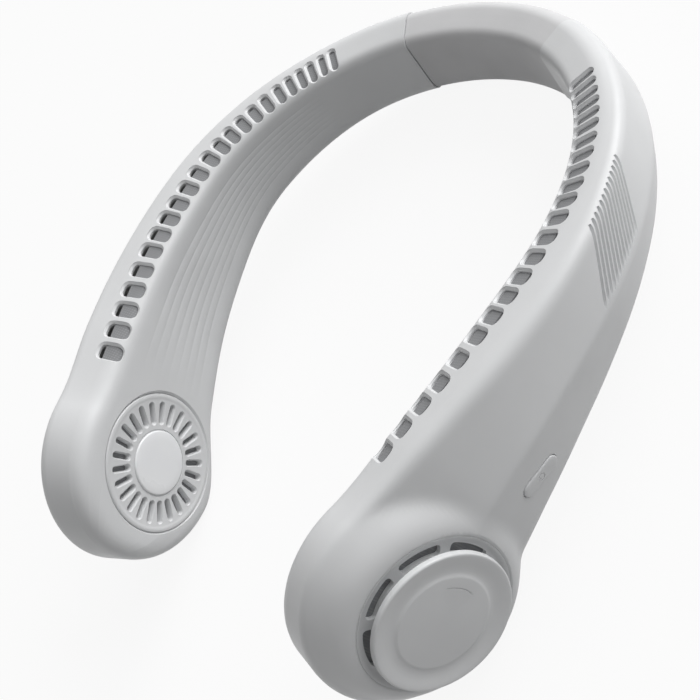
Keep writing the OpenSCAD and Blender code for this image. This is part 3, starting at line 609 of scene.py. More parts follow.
def carve(body: bmesh.types.BMesh, cutters: Iterable[bmesh.types.BMesh]) -> bmesh.types.BMesh:
    """Cuts closed bodies out of a closed body.

    Args:
        body: the mesh that is cut; it is freed.
        cutters: the meshes that are taken away; each is freed.

    Returns:
        The mesh that is left.
    """
    holder = mesh_object("work_body", body)
    parts = []
    for cutter in cutters:
        outward(cutter)
        part = mesh_object("work_cutter", cutter)
        parts.append(part)
        cut = holder.modifiers.new("cut", "BOOLEAN")
        cut.operation, cut.solver, cut.object = "DIFFERENCE", "MANIFOLD", part
    graph = bpy.context.evaluated_depsgraph_get()
    left = bmesh.new()
    left.from_mesh(holder.evaluated_get(graph).to_mesh())
    for gone in (holder, *parts):
        mesh = gone.data
        bpy.data.objects.remove(gone)
        bpy.data.meshes.remove(mesh)
    return left


def mesh_object(name: str, bm: bmesh.types.BMesh) -> bpy.types.Object:
    """Turns a mesh in the making into an object of the scene.

    Args:
        name: the object's name.
        bm: the mesh; it is freed.

    Returns:
        The object.
    """
    mesh = bpy.data.meshes.new(name)
    bm.to_mesh(mesh)
    bm.free()
    made = bpy.data.objects.new(name, mesh)
    bpy.context.scene.collection.objects.link(made)
    return made


def finished(name: str, bm: bmesh.types.BMesh, place: Matrix, side: Side, body: str | None,
             finish: "Finish", nodes: Sequence[str], sharp: float = 30.0
             ) -> bpy.types.Object:
    """Lays a mesh in its place as a piece of the fan.

    Args:
        name: the piece's name, without its side.
        bm: the mesh, in millimetres, on the right arm; it is freed.
        place: the frame that it was modelled in.
        side: the arm that it belongs to.
        body: the CAD body that it rides on, or None where it rides on none.
        finish: its finish.
        nodes: the CAD nodes that it replaces.
        sharp: the angle between faces from which an edge stays sharp, in degrees.

    Returns:
        The piece.
    """
    matrix = REST @ (MIRROR if side is Side.LEFT else UNMOVED) @ place
    bmesh.ops.transform(bm, matrix=matrix, verts=bm.verts[:])
    if matrix.determinant() < 0:
        bmesh.ops.reverse_faces(bm, faces=bm.faces[:])
    piece = mesh_object(name, bm)
    piece.data.shade_smooth()
    piece.data.set_sharp_from_angle(angle=math.radians(sharp))
    piece.data.materials.append(finish.material())
    if body:
        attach(piece, body)
    if nodes:
        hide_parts(*nodes)
    LOG.info("%s: %d faces", name, len(piece.data.polygons))
    return piece


# ---- Finishes ----


def linear(hex_colour: str) -> tuple[float, float, float, float]:
    """An sRGB hex colour as linear RGBA."""
    parts = [int(hex_colour[i:i + 2], 16) / 255 for i in (1, 3, 5)]
    return (*[c / 12.92 if c <= 0.04045 else ((c + 0.055) / 1.055) ** 2.4 for c in parts], 1.0)


def add_node(tree: bpy.types.NodeTree, kind: str, settings: dict[str, Any] | None = None,
             **links: Any) -> bpy.types.Node:
    """Adds a node to a tree.

    Args:
        tree: the tree.
        kind: the node's type.
        settings: values by the name of a socket, or of a property where no socket has that name.
        links: output sockets by the name of the input that they go to, with _ for a space.

    Returns:
        The node.
    """
    node = tree.nodes.new(kind)
    for name, value in (settings or {}).items():
        if name in node.inputs:
            node.inputs[name].default_value = value
        else:
            setattr(node, name, value)
    for name, output in links.items():
        tree.links.new(output, node.inputs[name.replace("_", " ")])
    return node


def cleared_tree(owner: bpy.types.Material | bpy.types.World) -> bpy.types.NodeTree:
    """Empties the node tree of a material or world.

    Args:
        owner: the material or world.

    Returns:
        The tree.
    """
    owner.use_nodes = True
    owner.node_tree.nodes.clear()
    return owner.node_tree


@dataclass(frozen=True)
class Finish:
    """A finish with a fine grain and slow changes of tone; sizes are those of the real surface."""

    name: str
    colour: str
    shade: str
    roughness: float = 0.45
    metallic: float = 0.0
    ior: float = 1.5
    grain_mm: float = 0.6
    grain_depth_mm: float = 0.006
    tone_mm: float = 18.0
    stretch: tuple[float, float, float] = (1.0, 1.0, 1.0)

    def material(self) -> bpy.types.Material:
        """Makes the finish's material, once.

        Returns:
            The material.
        """
        made = bpy.data.materials.get(self.name)
        if made:
            return made
        made = bpy.data.materials.new(self.name)
        tree = cleared_tree(made)
        where = add_node(tree, "ShaderNodeTexCoord").outputs["Object"]
        self.build(tree, where)
        made.diffuse_color = linear(self.colour)
        return made

    def shader(self, tree: bpy.types.NodeTree, **links: Any) -> None:
        """Adds the surface shader with this finish's plain values, and the material's output.

        Args:
            tree: the material's tree.
            links: output sockets by the name of the shader's input.
        """
        settings = {"Metallic": self.metallic, "Roughness": self.roughness,
                    "Base Color": linear(self.colour)}
        if not self.metallic:
            settings["IOR"] = self.ior
        made = add_node(tree, "ShaderNodeBsdfPrincipled", settings, **links)
        add_node(tree, "ShaderNodeOutputMaterial", Surface=made.outputs[0])

    def tones(self, tree: bpy.types.NodeTree, amount: Any) -> Any:
        """Mixes the finish's two tones.

        Args:
            tree: the material's tree.
            amount: socket that gives the share of the second tone.

        Returns:
            The colour's socket.
        """
        mix = add_node(tree, "ShaderNodeMix", {"data_type": "RGBA"})
        factor, first, second, result = mix.inputs[0], mix.inputs[6], mix.inputs[7], mix.outputs[2]
        first.default_value, second.default_value = linear(self.colour), linear(self.shade)
        tree.links.new(amount, factor)
        return result

    def noise(self, tree: bpy.types.NodeTree, where: Any, size_mm: float, detail: float) -> Any:
        """Noise with blobs of a given size.

        Args:
            tree: the material's tree.
            where: socket with the place on the piece.
            size_mm: size of the blobs.
            detail: how many finer levels are added.

        Returns:
            The noise's socket.
        """
        laid = add_node(tree, "ShaderNodeMapping", {"Scale": self.stretch}, Vector=where)
        return add_node(tree, "ShaderNodeTexNoise", {"Scale": 1 / (size_mm * MM), "Detail": detail,
                        "Roughness": 0.55}, Vector=laid.outputs[0]).outputs[0]

    def spread(self, tree: bpy.types.NodeTree, value: Any, low: float, high: float) -> Any:
        """Maps the middle of a noise's range to low..high."""
        return add_node(tree, "ShaderNodeMapRange", {"From Min": 0.32, "From Max": 0.68,
                        "To Min": low, "To Max": high}, Value=value).outputs[0]

    def bump(self, tree: bpy.types.NodeTree, height: Any, depth_mm: float) -> Any:
        """Surface direction raised by a height of up to depth_mm."""
        return add_node(tree, "ShaderNodeBump", {"Strength": 1.0, "Distance": depth_mm * MM},
                        Height=height).outputs[0]

    def build(self, tree: bpy.types.NodeTree, where: Any) -> None:
        """Fills the tree: tone and gloss drift slowly, and a fine grain is raised.

        Args:
            tree: the material's tree.
            where: socket with the place on the piece.
        """
        slow = self.noise(tree, where, self.tone_mm, 3.0)
        grain = self.noise(tree, where, self.grain_mm, 2.0)
        gloss = self.spread(tree, slow, self.roughness - 0.04, self.roughness + 0.04)
        bump = self.bump(tree, grain, self.grain_depth_mm)
        self.shader(tree, Base_Color=self.tones(tree, self.spread(tree, slow, 0.0, 1.0)),
                    Roughness=gloss, Normal=bump)


@dataclass(frozen=True)
class Banded(Finish):
    """A finish with regular bands, such as stacked plates, wound wire or a flat cable's leads."""

    pitch_mm: float = 0.5
    way: str = "Z"
    cross: str = ""
    depth_mm: float = 0.04

    def wave(self, tree: bpy.types.NodeTree, where: Any, way: str) -> Any:
        """Bands across one direction."""
        return add_node(tree, "ShaderNodeTexWave", {"bands_direction": way, "Distortion": 0.6,
                        "Scale": math.tau / 20 / (self.pitch_mm * MM)}, Vector=where).outputs[0]

    def build(self, tree: bpy.types.NodeTree, where: Any) -> None:
        """Fills the tree: each band is raised, and the gap beside it is darker.

        Args:
            tree: the material's tree.
            where: socket with the place on the piece.
        """
        wave = self.wave(tree, where, self.way)
        if self.cross:
            both = add_node(tree, "ShaderNodeMath", {"operation": "MULTIPLY"})
            tree.links.new(wave, both.inputs[0])
            tree.links.new(self.wave(tree, where, self.cross), both.inputs[1])
            wave = both.outputs[0]
        grain = self.noise(tree, where, self.grain_mm, 2.0)
        gloss = self.spread(tree, grain, self.roughness - 0.05, self.roughness + 0.08)
        self.shader(tree, Base_Color=self.tones(tree, wave), Roughness=gloss,
                    Normal=self.bump(tree, wave, self.depth_mm))


@dataclass(frozen=True)
class Traced(Finish):
    """A printed circuit board: solder mask over copper traces that run in blocks."""

    pitch_mm: float = 1.6

    def build(self, tree: bpy.types.NodeTree, where: Any) -> None:
        """Fills the tree: the mask is paler and stands up over the traces.

        Args:
            tree: the material's tree.
            where: socket with the place on the piece.
        """
        bricks = add_node(tree, "ShaderNodeTexBrick", {"Scale": 1 / (self.pitch_mm * MM),
                          "Mortar Size": 0.06, "Mortar Smooth": 0.3, "Brick Width": 1.0,
                          "Row Height": 0.5}, Vector=where).outputs["Fac"]
        grain = self.noise(tree, where, self.grain_mm, 2.0)
        gloss = self.spread(tree, grain, self.roughness - 0.05, self.roughness + 0.05)
        self.shader(tree, Base_Color=self.tones(tree, bricks), Roughness=gloss,
                    Normal=self.bump(tree, bricks, self.grain_depth_mm))


# Injection-moulded ABS with a fine spark-eroded texture: satin, the highlights soft and wide. The
# real grain is about 0.1 mm and is drawn coarser so that it still shows.
CASING = Finish("satin_moulded_abs", "#DDDEDF", "#DADBDC", 0.42, grain_mm=0.5,
                grain_depth_mm=0.004)
# Moulded silicone: matte with a dusty look, slightly darker and warmer than the casing.
SILICONE = Finish("matte_moulded_silicone", "#D8D8D9", "#D3D3D4", 0.6, ior=1.43, grain_mm=0.7,
                  grain_depth_mm=0.004)
# Polished ABS insert: smoother and clearly paler than the casing round it.
DISC = Finish("polished_abs_insert", "#F6F7F8", "#F2F3F5", 0.3, grain_mm=0.9,
              grain_depth_mm=0.002)
# The button's cap: the casing's plastic, rubbed a little smoother by fingers.
BUTTON = Finish("rubbed_moulded_abs", "#DADBDC", "#D4D5D7", 0.36, grain_mm=0.5,
                grain_depth_mm=0.003)
# Black nylon with a little glass fibre: dull, with pale fibre ends that mottle it.
BLACK_NYLON = Finish("glass_filled_nylon", "#232428", "#2E2F33", 0.55, grain_mm=0.5,
                     grain_depth_mm=0.01, tone_mm=4.0)
# Natural ABS of the inner mouldings: slightly yellow and a little glossier than the casing.
NATURAL_ABS = Finish("natural_abs", "#CFCFCD", "#C7C7C4", 0.38, grain_mm=0.8, tone_mm=12.0)
# Painted shade: grey woven nylon threads, drawn coarser than they are, behind the vents and openings stand for
# their shaded inside.
MESH = Banded("painted_shade_screen", "#828385", "#929395", 0.6, pitch_mm=0.8, way="X", cross="Y",
              depth_mm=0.02)
# Grey polypropylene of the fan wheels: waxy and soft in its highlights.
WHEEL_PP = Finish("moulded_polypropylene", "#8F9296", "#84878B", 0.5, ior=1.49, grain_mm=0.7,
                  tone_mm=9.0)
# Bright drawn steel: streaks along the drawing, with a mirror-like but broken gloss.
STEEL = Finish("drawn_steel", "#C9CACC", "#B4B6B9", 0.26, metallic=1.0, grain_mm=0.25,
               grain_depth_mm=0.002, tone_mm=3.0, stretch=(1.0, 1.0, 6.0))
# Stator core: 0.35 mm plates of silicon steel, stamped and stacked, drawn twice as thick.
CORE_PLATES = Banded("stacked_core_steel", "#8C8F93", "#54575B", 0.4, metallic=1.0, pitch_mm=0.7,
                     way="X")
# Moulded ferrite: near black, with a dry and slightly rough skin.
FERRITE = Finish("moulded_ferrite", "#2B2B2E", "#37373A", 0.62, grain_mm=0.4, grain_depth_mm=0.01,
                 tone_mm=3.0)
# Enamelled copper wire of 0.25 mm, drawn twice as thick: glossy turns with dark gaps.
COPPER_WIRE = Banded("enamelled_copper_wire", "#C4733B", "#6E3216", 0.25, metallic=1.0,
                     pitch_mm=0.5, way="Y")
# Sintered bronze: dull gold, open pores that hold oil.
BRONZE = Finish("sintered_bronze", "#A9823F", "#8A672E", 0.5, metallic=1.0, grain_mm=0.3,
                grain_depth_mm=0.02, tone_mm=1.5)
# PVC heat-shrink sleeve: blue, glossy, with faint rings where it shrank.
SHRINK_SLEEVE = Banded("pvc_shrink_sleeve", "#2F6AA8", "#2A6099", 0.22, pitch_mm=3.5, way="X",
                       depth_mm=0.02)
# Glass-epoxy board under green solder mask.
SOLDER_MASK = Traced("green_solder_mask", "#1E6B45", "#2C8158", 0.3, grain_mm=0.6,
                     grain_depth_mm=0.03)
# PVC flat cable: red, one soft ridge over each lead at 1.27 mm.
FLAT_CABLE = Banded("pvc_flat_cable", "#B5332B", "#8E241E", 0.45, pitch_mm=1.27, way="Z",
                    depth_mm=0.12)
# Finish and slot of the CAD nodes that stay, by the end of their names
KEPT_FINISHES: dict[str, tuple[Finish, str]] = {
    "band_clip": (BLACK_NYLON, "dark_plastic"),
    "band_plug": (BLACK_NYLON, "dark_plastic"),
    "duct_floor": (NATURAL_ABS, "inner_plastic"),
    "scroll": (NATURAL_ABS, "inner_plastic"),
    "fan_wheel": (WHEEL_PP, "wheel_plastic"),
    "rotor_cup": (STEEL, "steel"),
    "magnet_ring": (FERRITE, "magnet"),
    "shaft": (STEEL, "steel"),
    "bearing": (BRONZE, "bronze"),
    "stator": (CORE_PLATES, "core_steel"),
    "coils": (COPPER_WIRE, "copper"),
    "motor_base": (BLACK_NYLON, "dark_plastic"),
    "motor_screws": (STEEL, "steel"),
    "battery": (SHRINK_SLEEVE, "battery_wrap"),
    "circuit_board": (SOLDER_MASK, "board"),
    "charging_socket": (STEEL, "steel"),
    "socket_tongue": (BLACK_NYLON, "dark_plastic"),
    "switch_body": (STEEL, "steel"),
    "switch_plunger": (BLACK_NYLON, "dark_plastic"),
    "board_posts": (CASING, "casing"),
}


# ---- Arms ----


@dataclass(frozen=True)
class Vents:
    """The row of air vents along the arm's top inner edge."""

    casing: Casing = Casing()
    first: float = 63.5
    last: float = 199.5
    length: float = 8.6
    widest: float = 5.2
    corner: float = 1.8
    corner_steps: int = 4
    rim: float = 0.7
    above: float = 3.0
    deep: float = 6.0
    places: tuple[float, ...] = (
        0, 0.032, 0.065, 0.097, 0.131, 0.167, 0.208, 0.249, 0.29, 0.331, 0.371, 0.415, 0.464,
        0.513, 0.562, 0.61, 0.66, 0.71, 0.768, 0.826, 0.883, 0.941, 1)
    widths: tuple[float, ...] = (
        0.46, 0.46, 0.48, 0.5, 0.52, 0.56, 0.62, 0.66, 0.68, 0.7, 0.72, 0.76, 0.8, 0.84, 0.86,
        0.88, 0.9, 0.92, 0.94, 0.96, 0.98, 1, 1)

    def lid(self, s: float, v: float, base: float) -> float:
        """Height of the casing's skin over the sloping plane of a vent.

        Args:
            s: distance along the vent line.
            v: distance across the arm, in that plane.
            base: height of the plane at the vent line.

        Returns:
            The height, square to the plane.
        """
        slope = self.casing.vent_slope
        best = -self.above
        over = [(n * math.cos(slope) + (z - base) * math.sin(slope),
                 (z - base) * math.cos(slope) - n * math.sin(slope))
                for n, z in self.casing.outline(s, 0, COARSE)]
        for a, b in zip(over, over[1:]):
            if min(a[0], b[0]) <= v <= max(a[0], b[0]) and a[0] != b[0]:
                best = max(best, a[1] + (b[1] - a[1]) * (v - a[0]) / (b[0] - a[0]))
        return best

    def outline(self, width: float, grow: float) -> list[tuple[float, float]]:
        """Outline of a vent.

        Args:
            width: the vent's width along the arm.
            grow: how much it is grown all round.

        Returns:
            The points (u along the arm, v across it).
        """
        c = min(self.corner, 0.45 * width) + grow
        half_u, half_v = width / 2 + grow, self.length / 2 + grow
        points = []
        for su, sv, start in ((1, 1, 0), (-1, 1, 90), (-1, -1, 180), (1, -1, 270)):
            for k in range(self.corner_steps + 1):
                a = math.radians(start + 90 * k / self.corner_steps)
                points.append((su * (half_u - c) + c * math.cos(a),
                               sv * (half_v - c) + c * math.sin(a)))
        return points

    def cutter(self) -> bmesh.types.BMesh:
        """All vents as one body to cut out of the casing, each with a small chamfer.

        Returns:
            The body.
        """
        bm = bmesh.new()
        plan, slope = self.casing.plan, self.casing.vent_slope
        up = Vector((0, 0, 1))
        for place_share, width_share in zip(self.places, self.widths):
            s = self.first + (self.last - self.first) * place_share
            base = self.casing.vent_z(s)
            along, out, origin = plan.along(s), plan.outward(s), plan.place(s, 0, base)
            rows = []
            for h, grow in ((self.above, self.rim + 0.05), (0.0, self.rim), (-self.rim, 0.0),
                            (None, 0.0)):
                row = []
                for u, v in self.outline(self.widest * width_share, grow):
                    t = -self.deep if h is None else self.lid(s + u, v, base) + h
                    row.append(origin + along * u
                               + out * (v * math.cos(slope) - t * math.sin(slope))
                               + up * (v * math.sin(slope) + t * math.cos(slope)))
                rows.append(row)
            loft(bm, rows)
        return bm


@dataclass(frozen=True)
class Grooves:
    """The slanting grooves moulded into the outer face behind each pod."""

    casing: Casing = Casing()
    count: int = 13
    tops: tuple[float, float] = (100.0, 121.5)
    ends: tuple[float, float] = (112.3, 133.2)
    half_width: float = 0.5
    depth: float = 1.0
    steps: int = 22

    def face(self, s: float, share: float) -> tuple[Vector, Vector]:
        """Point of the outer face and the direction out of it.

        Args:
            s: distance along the vent line.
            share: 0 in the middle of the top outer rounding and 1 at the crease.

        Returns:
            The point in space, and the unit vector square to the face.
        """
        outline = [Vector(p) for p in self.casing.outline(s, 0, FINE)]
        last = len(outline) - sum(FINE.arcs[4:]) - FINE.bevel - FINE.bottom - 1
        path = outline[last - FINE.outer - FINE.arcs[3] // 2:last + 4]
        reach = sum((b - a).length for a, b in zip(path, path[1:-3])) * share
        for a, b in zip(path, path[1:]):
            step = (b - a).length
            if reach <= step:
                break
            reach -= step
        way, plan = (b - a).normalized(), self.casing.plan
        n, z = a + way * reach
        out = plan.outward(s) * -way.y + Vector((0, 0, way.x))
        return plan.place(s, n, z), out

    def cutter(self) -> bmesh.types.BMesh:
        """All grooves as one body of V-shaped bars that follow the face.

        Returns:
            The body.
        """
        bm = bmesh.new()
        for i in range(self.count):
            share = i / (self.count - 1)
            top = self.tops[0] + (self.tops[1] - self.tops[0]) * share
            end = self.ends[0] + (self.ends[1] - self.ends[0]) * share
            stops = [0.01 + 1.02 * k / self.steps for k in range(self.steps + 1)]
            places = [self.face(top + (end - top) * f, f) for f in stops]
            rows = []
            for k, (f, (p, out)) in enumerate(zip(stops, places)):
                run = places[min(k + 1, self.steps)][0] - places[max(k - 1, 0)][0]
                across = out.cross(run).normalized()
                # share of the full size: each groove starts and ends shallower and narrower
                full = min(1.0, 0.4 + 14 * f, 0.1 + 12 * (1.03 - f))
                wide = self.half_width * 1.4 * (0.5 + 0.5 * full)
                rows.append([p + across * wide + out * 0.3, p - across * wide + out * 0.3,
                             p - out * self.depth * full])
            loft(bm, rows)
        return bm


@dataclass(frozen=True)
class ButtonPlace:
    """Frame of the power button on the right arm's bevel: x along the arm, y down, z outwards."""

    casing: Casing = Casing()
    at: float = 174.0
    up: float = 13.5
    length: float = 14.0
    width: float = 5.0

    def matrix(self) -> Matrix:
        """The frame as a matrix.

        Returns:
            The matrix.
        """
        casing, plan = self.casing, self.casing.plan
        z0 = casing.bottom_z(self.at) + self.up

        def bevel(s: float, z: float) -> Vector:
            """Finds a point of the bevel.

            Args:
                s: distance along the vent line.
                z: height.

            Returns:
                The point.
            """
            c = casing.corners(s)
            n = c[5].x + (c[4].x - c[5].x) * (z - c[5].y) / (c[4].y - c[5].y)
            return plan.place(s, n, z)

        half = self.length / 2
        x = (bevel(self.at + half, z0) - bevel(self.at - half, z0)).normalized()
        down = bevel(self.at, z0 - self.width) - bevel(self.at, z0 + self.width)
        z = x.cross(down).normalized()
        turn = Matrix((x, z.cross(x), z)).transposed().to_4x4()
        return Matrix.Translation(bevel(self.at, z0)) @ turn


@dataclass(frozen=True)
class Button:
    """The power button: a pill that stands slightly out of the bevel, and the opening round it."""

    place: ButtonPlace = ButtonPlace()
    play: float = 0.2

    def cutter(self) -> bmesh.types.BMesh:
        """The opening in the casing, with a small chamfer.

        Returns:
            The body, on the arm.
        """
        bm = bmesh.new()
        half_l, half_w = self.place.length / 2, self.place.width / 2
        loft(bm, pill(half_l, half_w, ((-4.5, self.play), (-0.25, self.play),
                                       (2.0, self.play + 2.25))))
        bmesh.ops.transform(bm, matrix=self.place.matrix(), verts=bm.verts[:])
        return bm

    def mark(self) -> bmesh.types.BMesh:
        """The common on and off sign: an open ring with a bar in its gap.

        Returns:
            The body to cut out of the button.
        """
        bm = bmesh.new()
        ring_r, half, gap, steps, levels = 1.15, 0.14, 40, 24, (0.34, 0.9)
        turns = [math.radians(gap + (360 - 2 * gap) * k / steps) for k in range(steps + 1)]
        edge = [(ring_r + half, a) for a in turns] + [(ring_r - half, a) for a in reversed(turns)]
        bar = [(0.35, -half), (1.45, -half), (1.45, half), (0.35, half)]
        for outline in ([(r * math.cos(a), r * math.sin(a)) for r, a in edge], bar):
            loft(bm, [[Vector((x, y, z)) for x, y in outline] for z in levels])
        return bm

    def build(self) -> None:
        """Makes the button as a crowned pill on a flange behind the wall."""
        bm = bmesh.new()
        half_l, half_w = self.place.length / 2, self.place.width / 2
        # flange, straight flank, then the crown
        loft(bm, pill(half_l, half_w, (
            (-3.15, 1.0), (-2.15, 1.0), (-2.15, 0.0), (0.1, 0.0), (0.26, -0.1), (0.36, -0.3),
            (0.43, -0.7), (0.48, -1.3), (0.5, -1.9))))
        outward(bm)
        finished("power_button_cap", carve(bm, [self.mark()]), self.place.matrix(), Side.RIGHT,
                 "button", BUTTON, ["power_button"], 40.0)


@dataclass(frozen=True)
class Arms:
    """The two hollow arms: skin and lining in one piece each, with all their openings."""

    casing: Casing = Casing()
    vents: Vents = Vents()
    grooves: Grooves = Grooves()
    button: Button = Button()
    socket_half: tuple[float, float] = (4.6, 1.75)
    lip_r: float = 24.2
    grille_hole_r: float = 23.85
    screen_in: float = 1.15
    screen_thick: float = 0.4
    pod_from: float = 186.0

    def places(self, d: float, fine: bool) -> list[float]:
        """Distances along the arm at which a section is drawn.

        Args:
            d: inset of the sections.
            fine: whether they are drawn for the skin or for the lining.

        Returns:
            The distances, from the arm's back end to its tip.
        """
        fan, start = self.casing.plan.fan_at, self.casing.back_end
        if fine:
            straight = (spaced(start, self.pod_from, 2.6)[:-1]
                        + spaced(self.pod_from, fan, 1.2)[:-1])
            angles = [2.2 * k for k in range(37)] + [81.2, 83, 84.6, 86, 87.2, 88.2, 88.9, 89.4]
        else:
            straight = spaced(start, fan, 6)[:-1]
            angles = [7 * k for k in range(12)] + [83, 87, 89]
        return straight + [fan + (self.casing.nose_len - d) * math.sin(math.radians(a))
                           for a in angles]

    def shell(self) -> bmesh.types.BMesh:
        """The uncut casing of the right arm.

        Returns:
            Skin, lining and the edge that joins them behind.
        """
        bm = bmesh.new()
        for d, columns in ((0.0, FINE), (self.casing.wall, COARSE)):
            before = set(bm.verts)
            rows = [self.casing.ring(s, d, columns) for s in self.places(d, d == 0)]
            surface(bm, rows)
            tip = {tuple(round(c, 4) for c in p) for p in rows[-1]}
            rim = [e for e in open_edges(bm) if e.verts[0] not in before
                   and all(tuple(round(c, 4) for c in v.co) in tip for v in e.verts)]
            bmesh.ops.holes_fill(bm, edges=rim, sides=0)
        bmesh.ops.bridge_loops(bm, edges=open_edges(bm))
        outward(bm)
        return bm

    def screen(self) -> bmesh.types.BMesh:
        """Grey strip of painted shade behind the vents.

        Returns:
            A thin strip that lies along the inside of the skin.
        """
        bm = bmesh.new()
        start = sum(SCREEN.arcs[:1]) + SCREEN.inner - 1
        end = start + SCREEN.arcs[1] + SCREEN.facet + 2
        rows = []
        for s in spaced(self.vents.first - 5, self.vents.last + 4, 3.0):
            near, far = (self.casing.outline(s, d, SCREEN)[start:end]
                         for d in (self.screen_in, self.screen_in + self.screen_thick))
            rows.append([self.casing.plan.place(s, n, z) for n, z in near + far[::-1]])
        loft(bm, rows)
        outward(bm)
        return bm

    def fan_openings(self) -> list[bmesh.types.BMesh]:
        """Bodies to cut out of the pod.

        Returns:
            The grille's body on the neck's side and the intake's on the outer side.
        """
        r = self.grille_hole_r
        grille = turned([(0, -8.0), (r + 3.9, -8.0), (r, -4.1), (r, 2.0), (0, 2.0)], 128)
        r = self.lip_r
        lip = turned([(0, 12.0), (r, 12.0), (r, 21.5), (r + 0.12, 21.7), (r + 0.45, 21.86),
                      (r + 1.4, 22.3), (r + 1.4, 24.5), (0, 24.5)], 128)
        for bm in (grille, lip):
            bmesh.ops.transform(bm, matrix=fan_matrix(), verts=bm.verts[:])
        return [grille, lip]

    def socket_cutter(self) -> bmesh.types.BMesh:
        """Opening for the charging port, found from the record's mount.

        Returns:
            The body to cut out of the casing.
        """
        mount = next(m for m in frame["record"]["mounts"] if m["name"] == "charging_port")
        back = REST.inverted()
        z = (back.to_3x3() @ Vector(mount["axis"])).normalized()
        x = self.casing.plan.along(self.button.place.at)
        x = (x - z * x.dot(z)).normalized()
        turn = Matrix((x, z.cross(x), z)).transposed().to_4x4()
        bm = bmesh.new()
        loft(bm, pill(*self.socket_half, ((-6.0, 0.0), (-0.3, 0.0), (2.0, 2.3))))
        bmesh.ops.transform(bm, matrix=Matrix.Translation(back @ Vector(mount["pos_m"])) @ turn,
                            verts=bm.verts[:])
        return bm

    def build(self) -> None:
        """Makes both arms; only the right one has the button and the charging port."""
        common = carve(self.shell(), [self.vents.cutter(), self.grooves.cutter(),
                                      *self.fan_openings()])
        for side in Side:
            bm = common.copy()
            if side is Side.RIGHT:
                bm = carve(bm, [self.button.cutter(), self.socket_cutter()])
            name = side.value
            finished(f"{name}_arm_casing", bm, UNMOVED, side, f"{name}_arm", CASING,
                     [f"{name}_inner_shell", f"{name}_outer_shell"])
            # the vent screen is painted shade: a grey strip standing for the shaded inside of the arm seen through
            # the vents
            finished(f"{name}_vent_shade_screen", self.screen(), UNMOVED, side, f"{name}_arm",
                     MESH, [])
        common.free()


# ---- Fan pods ----


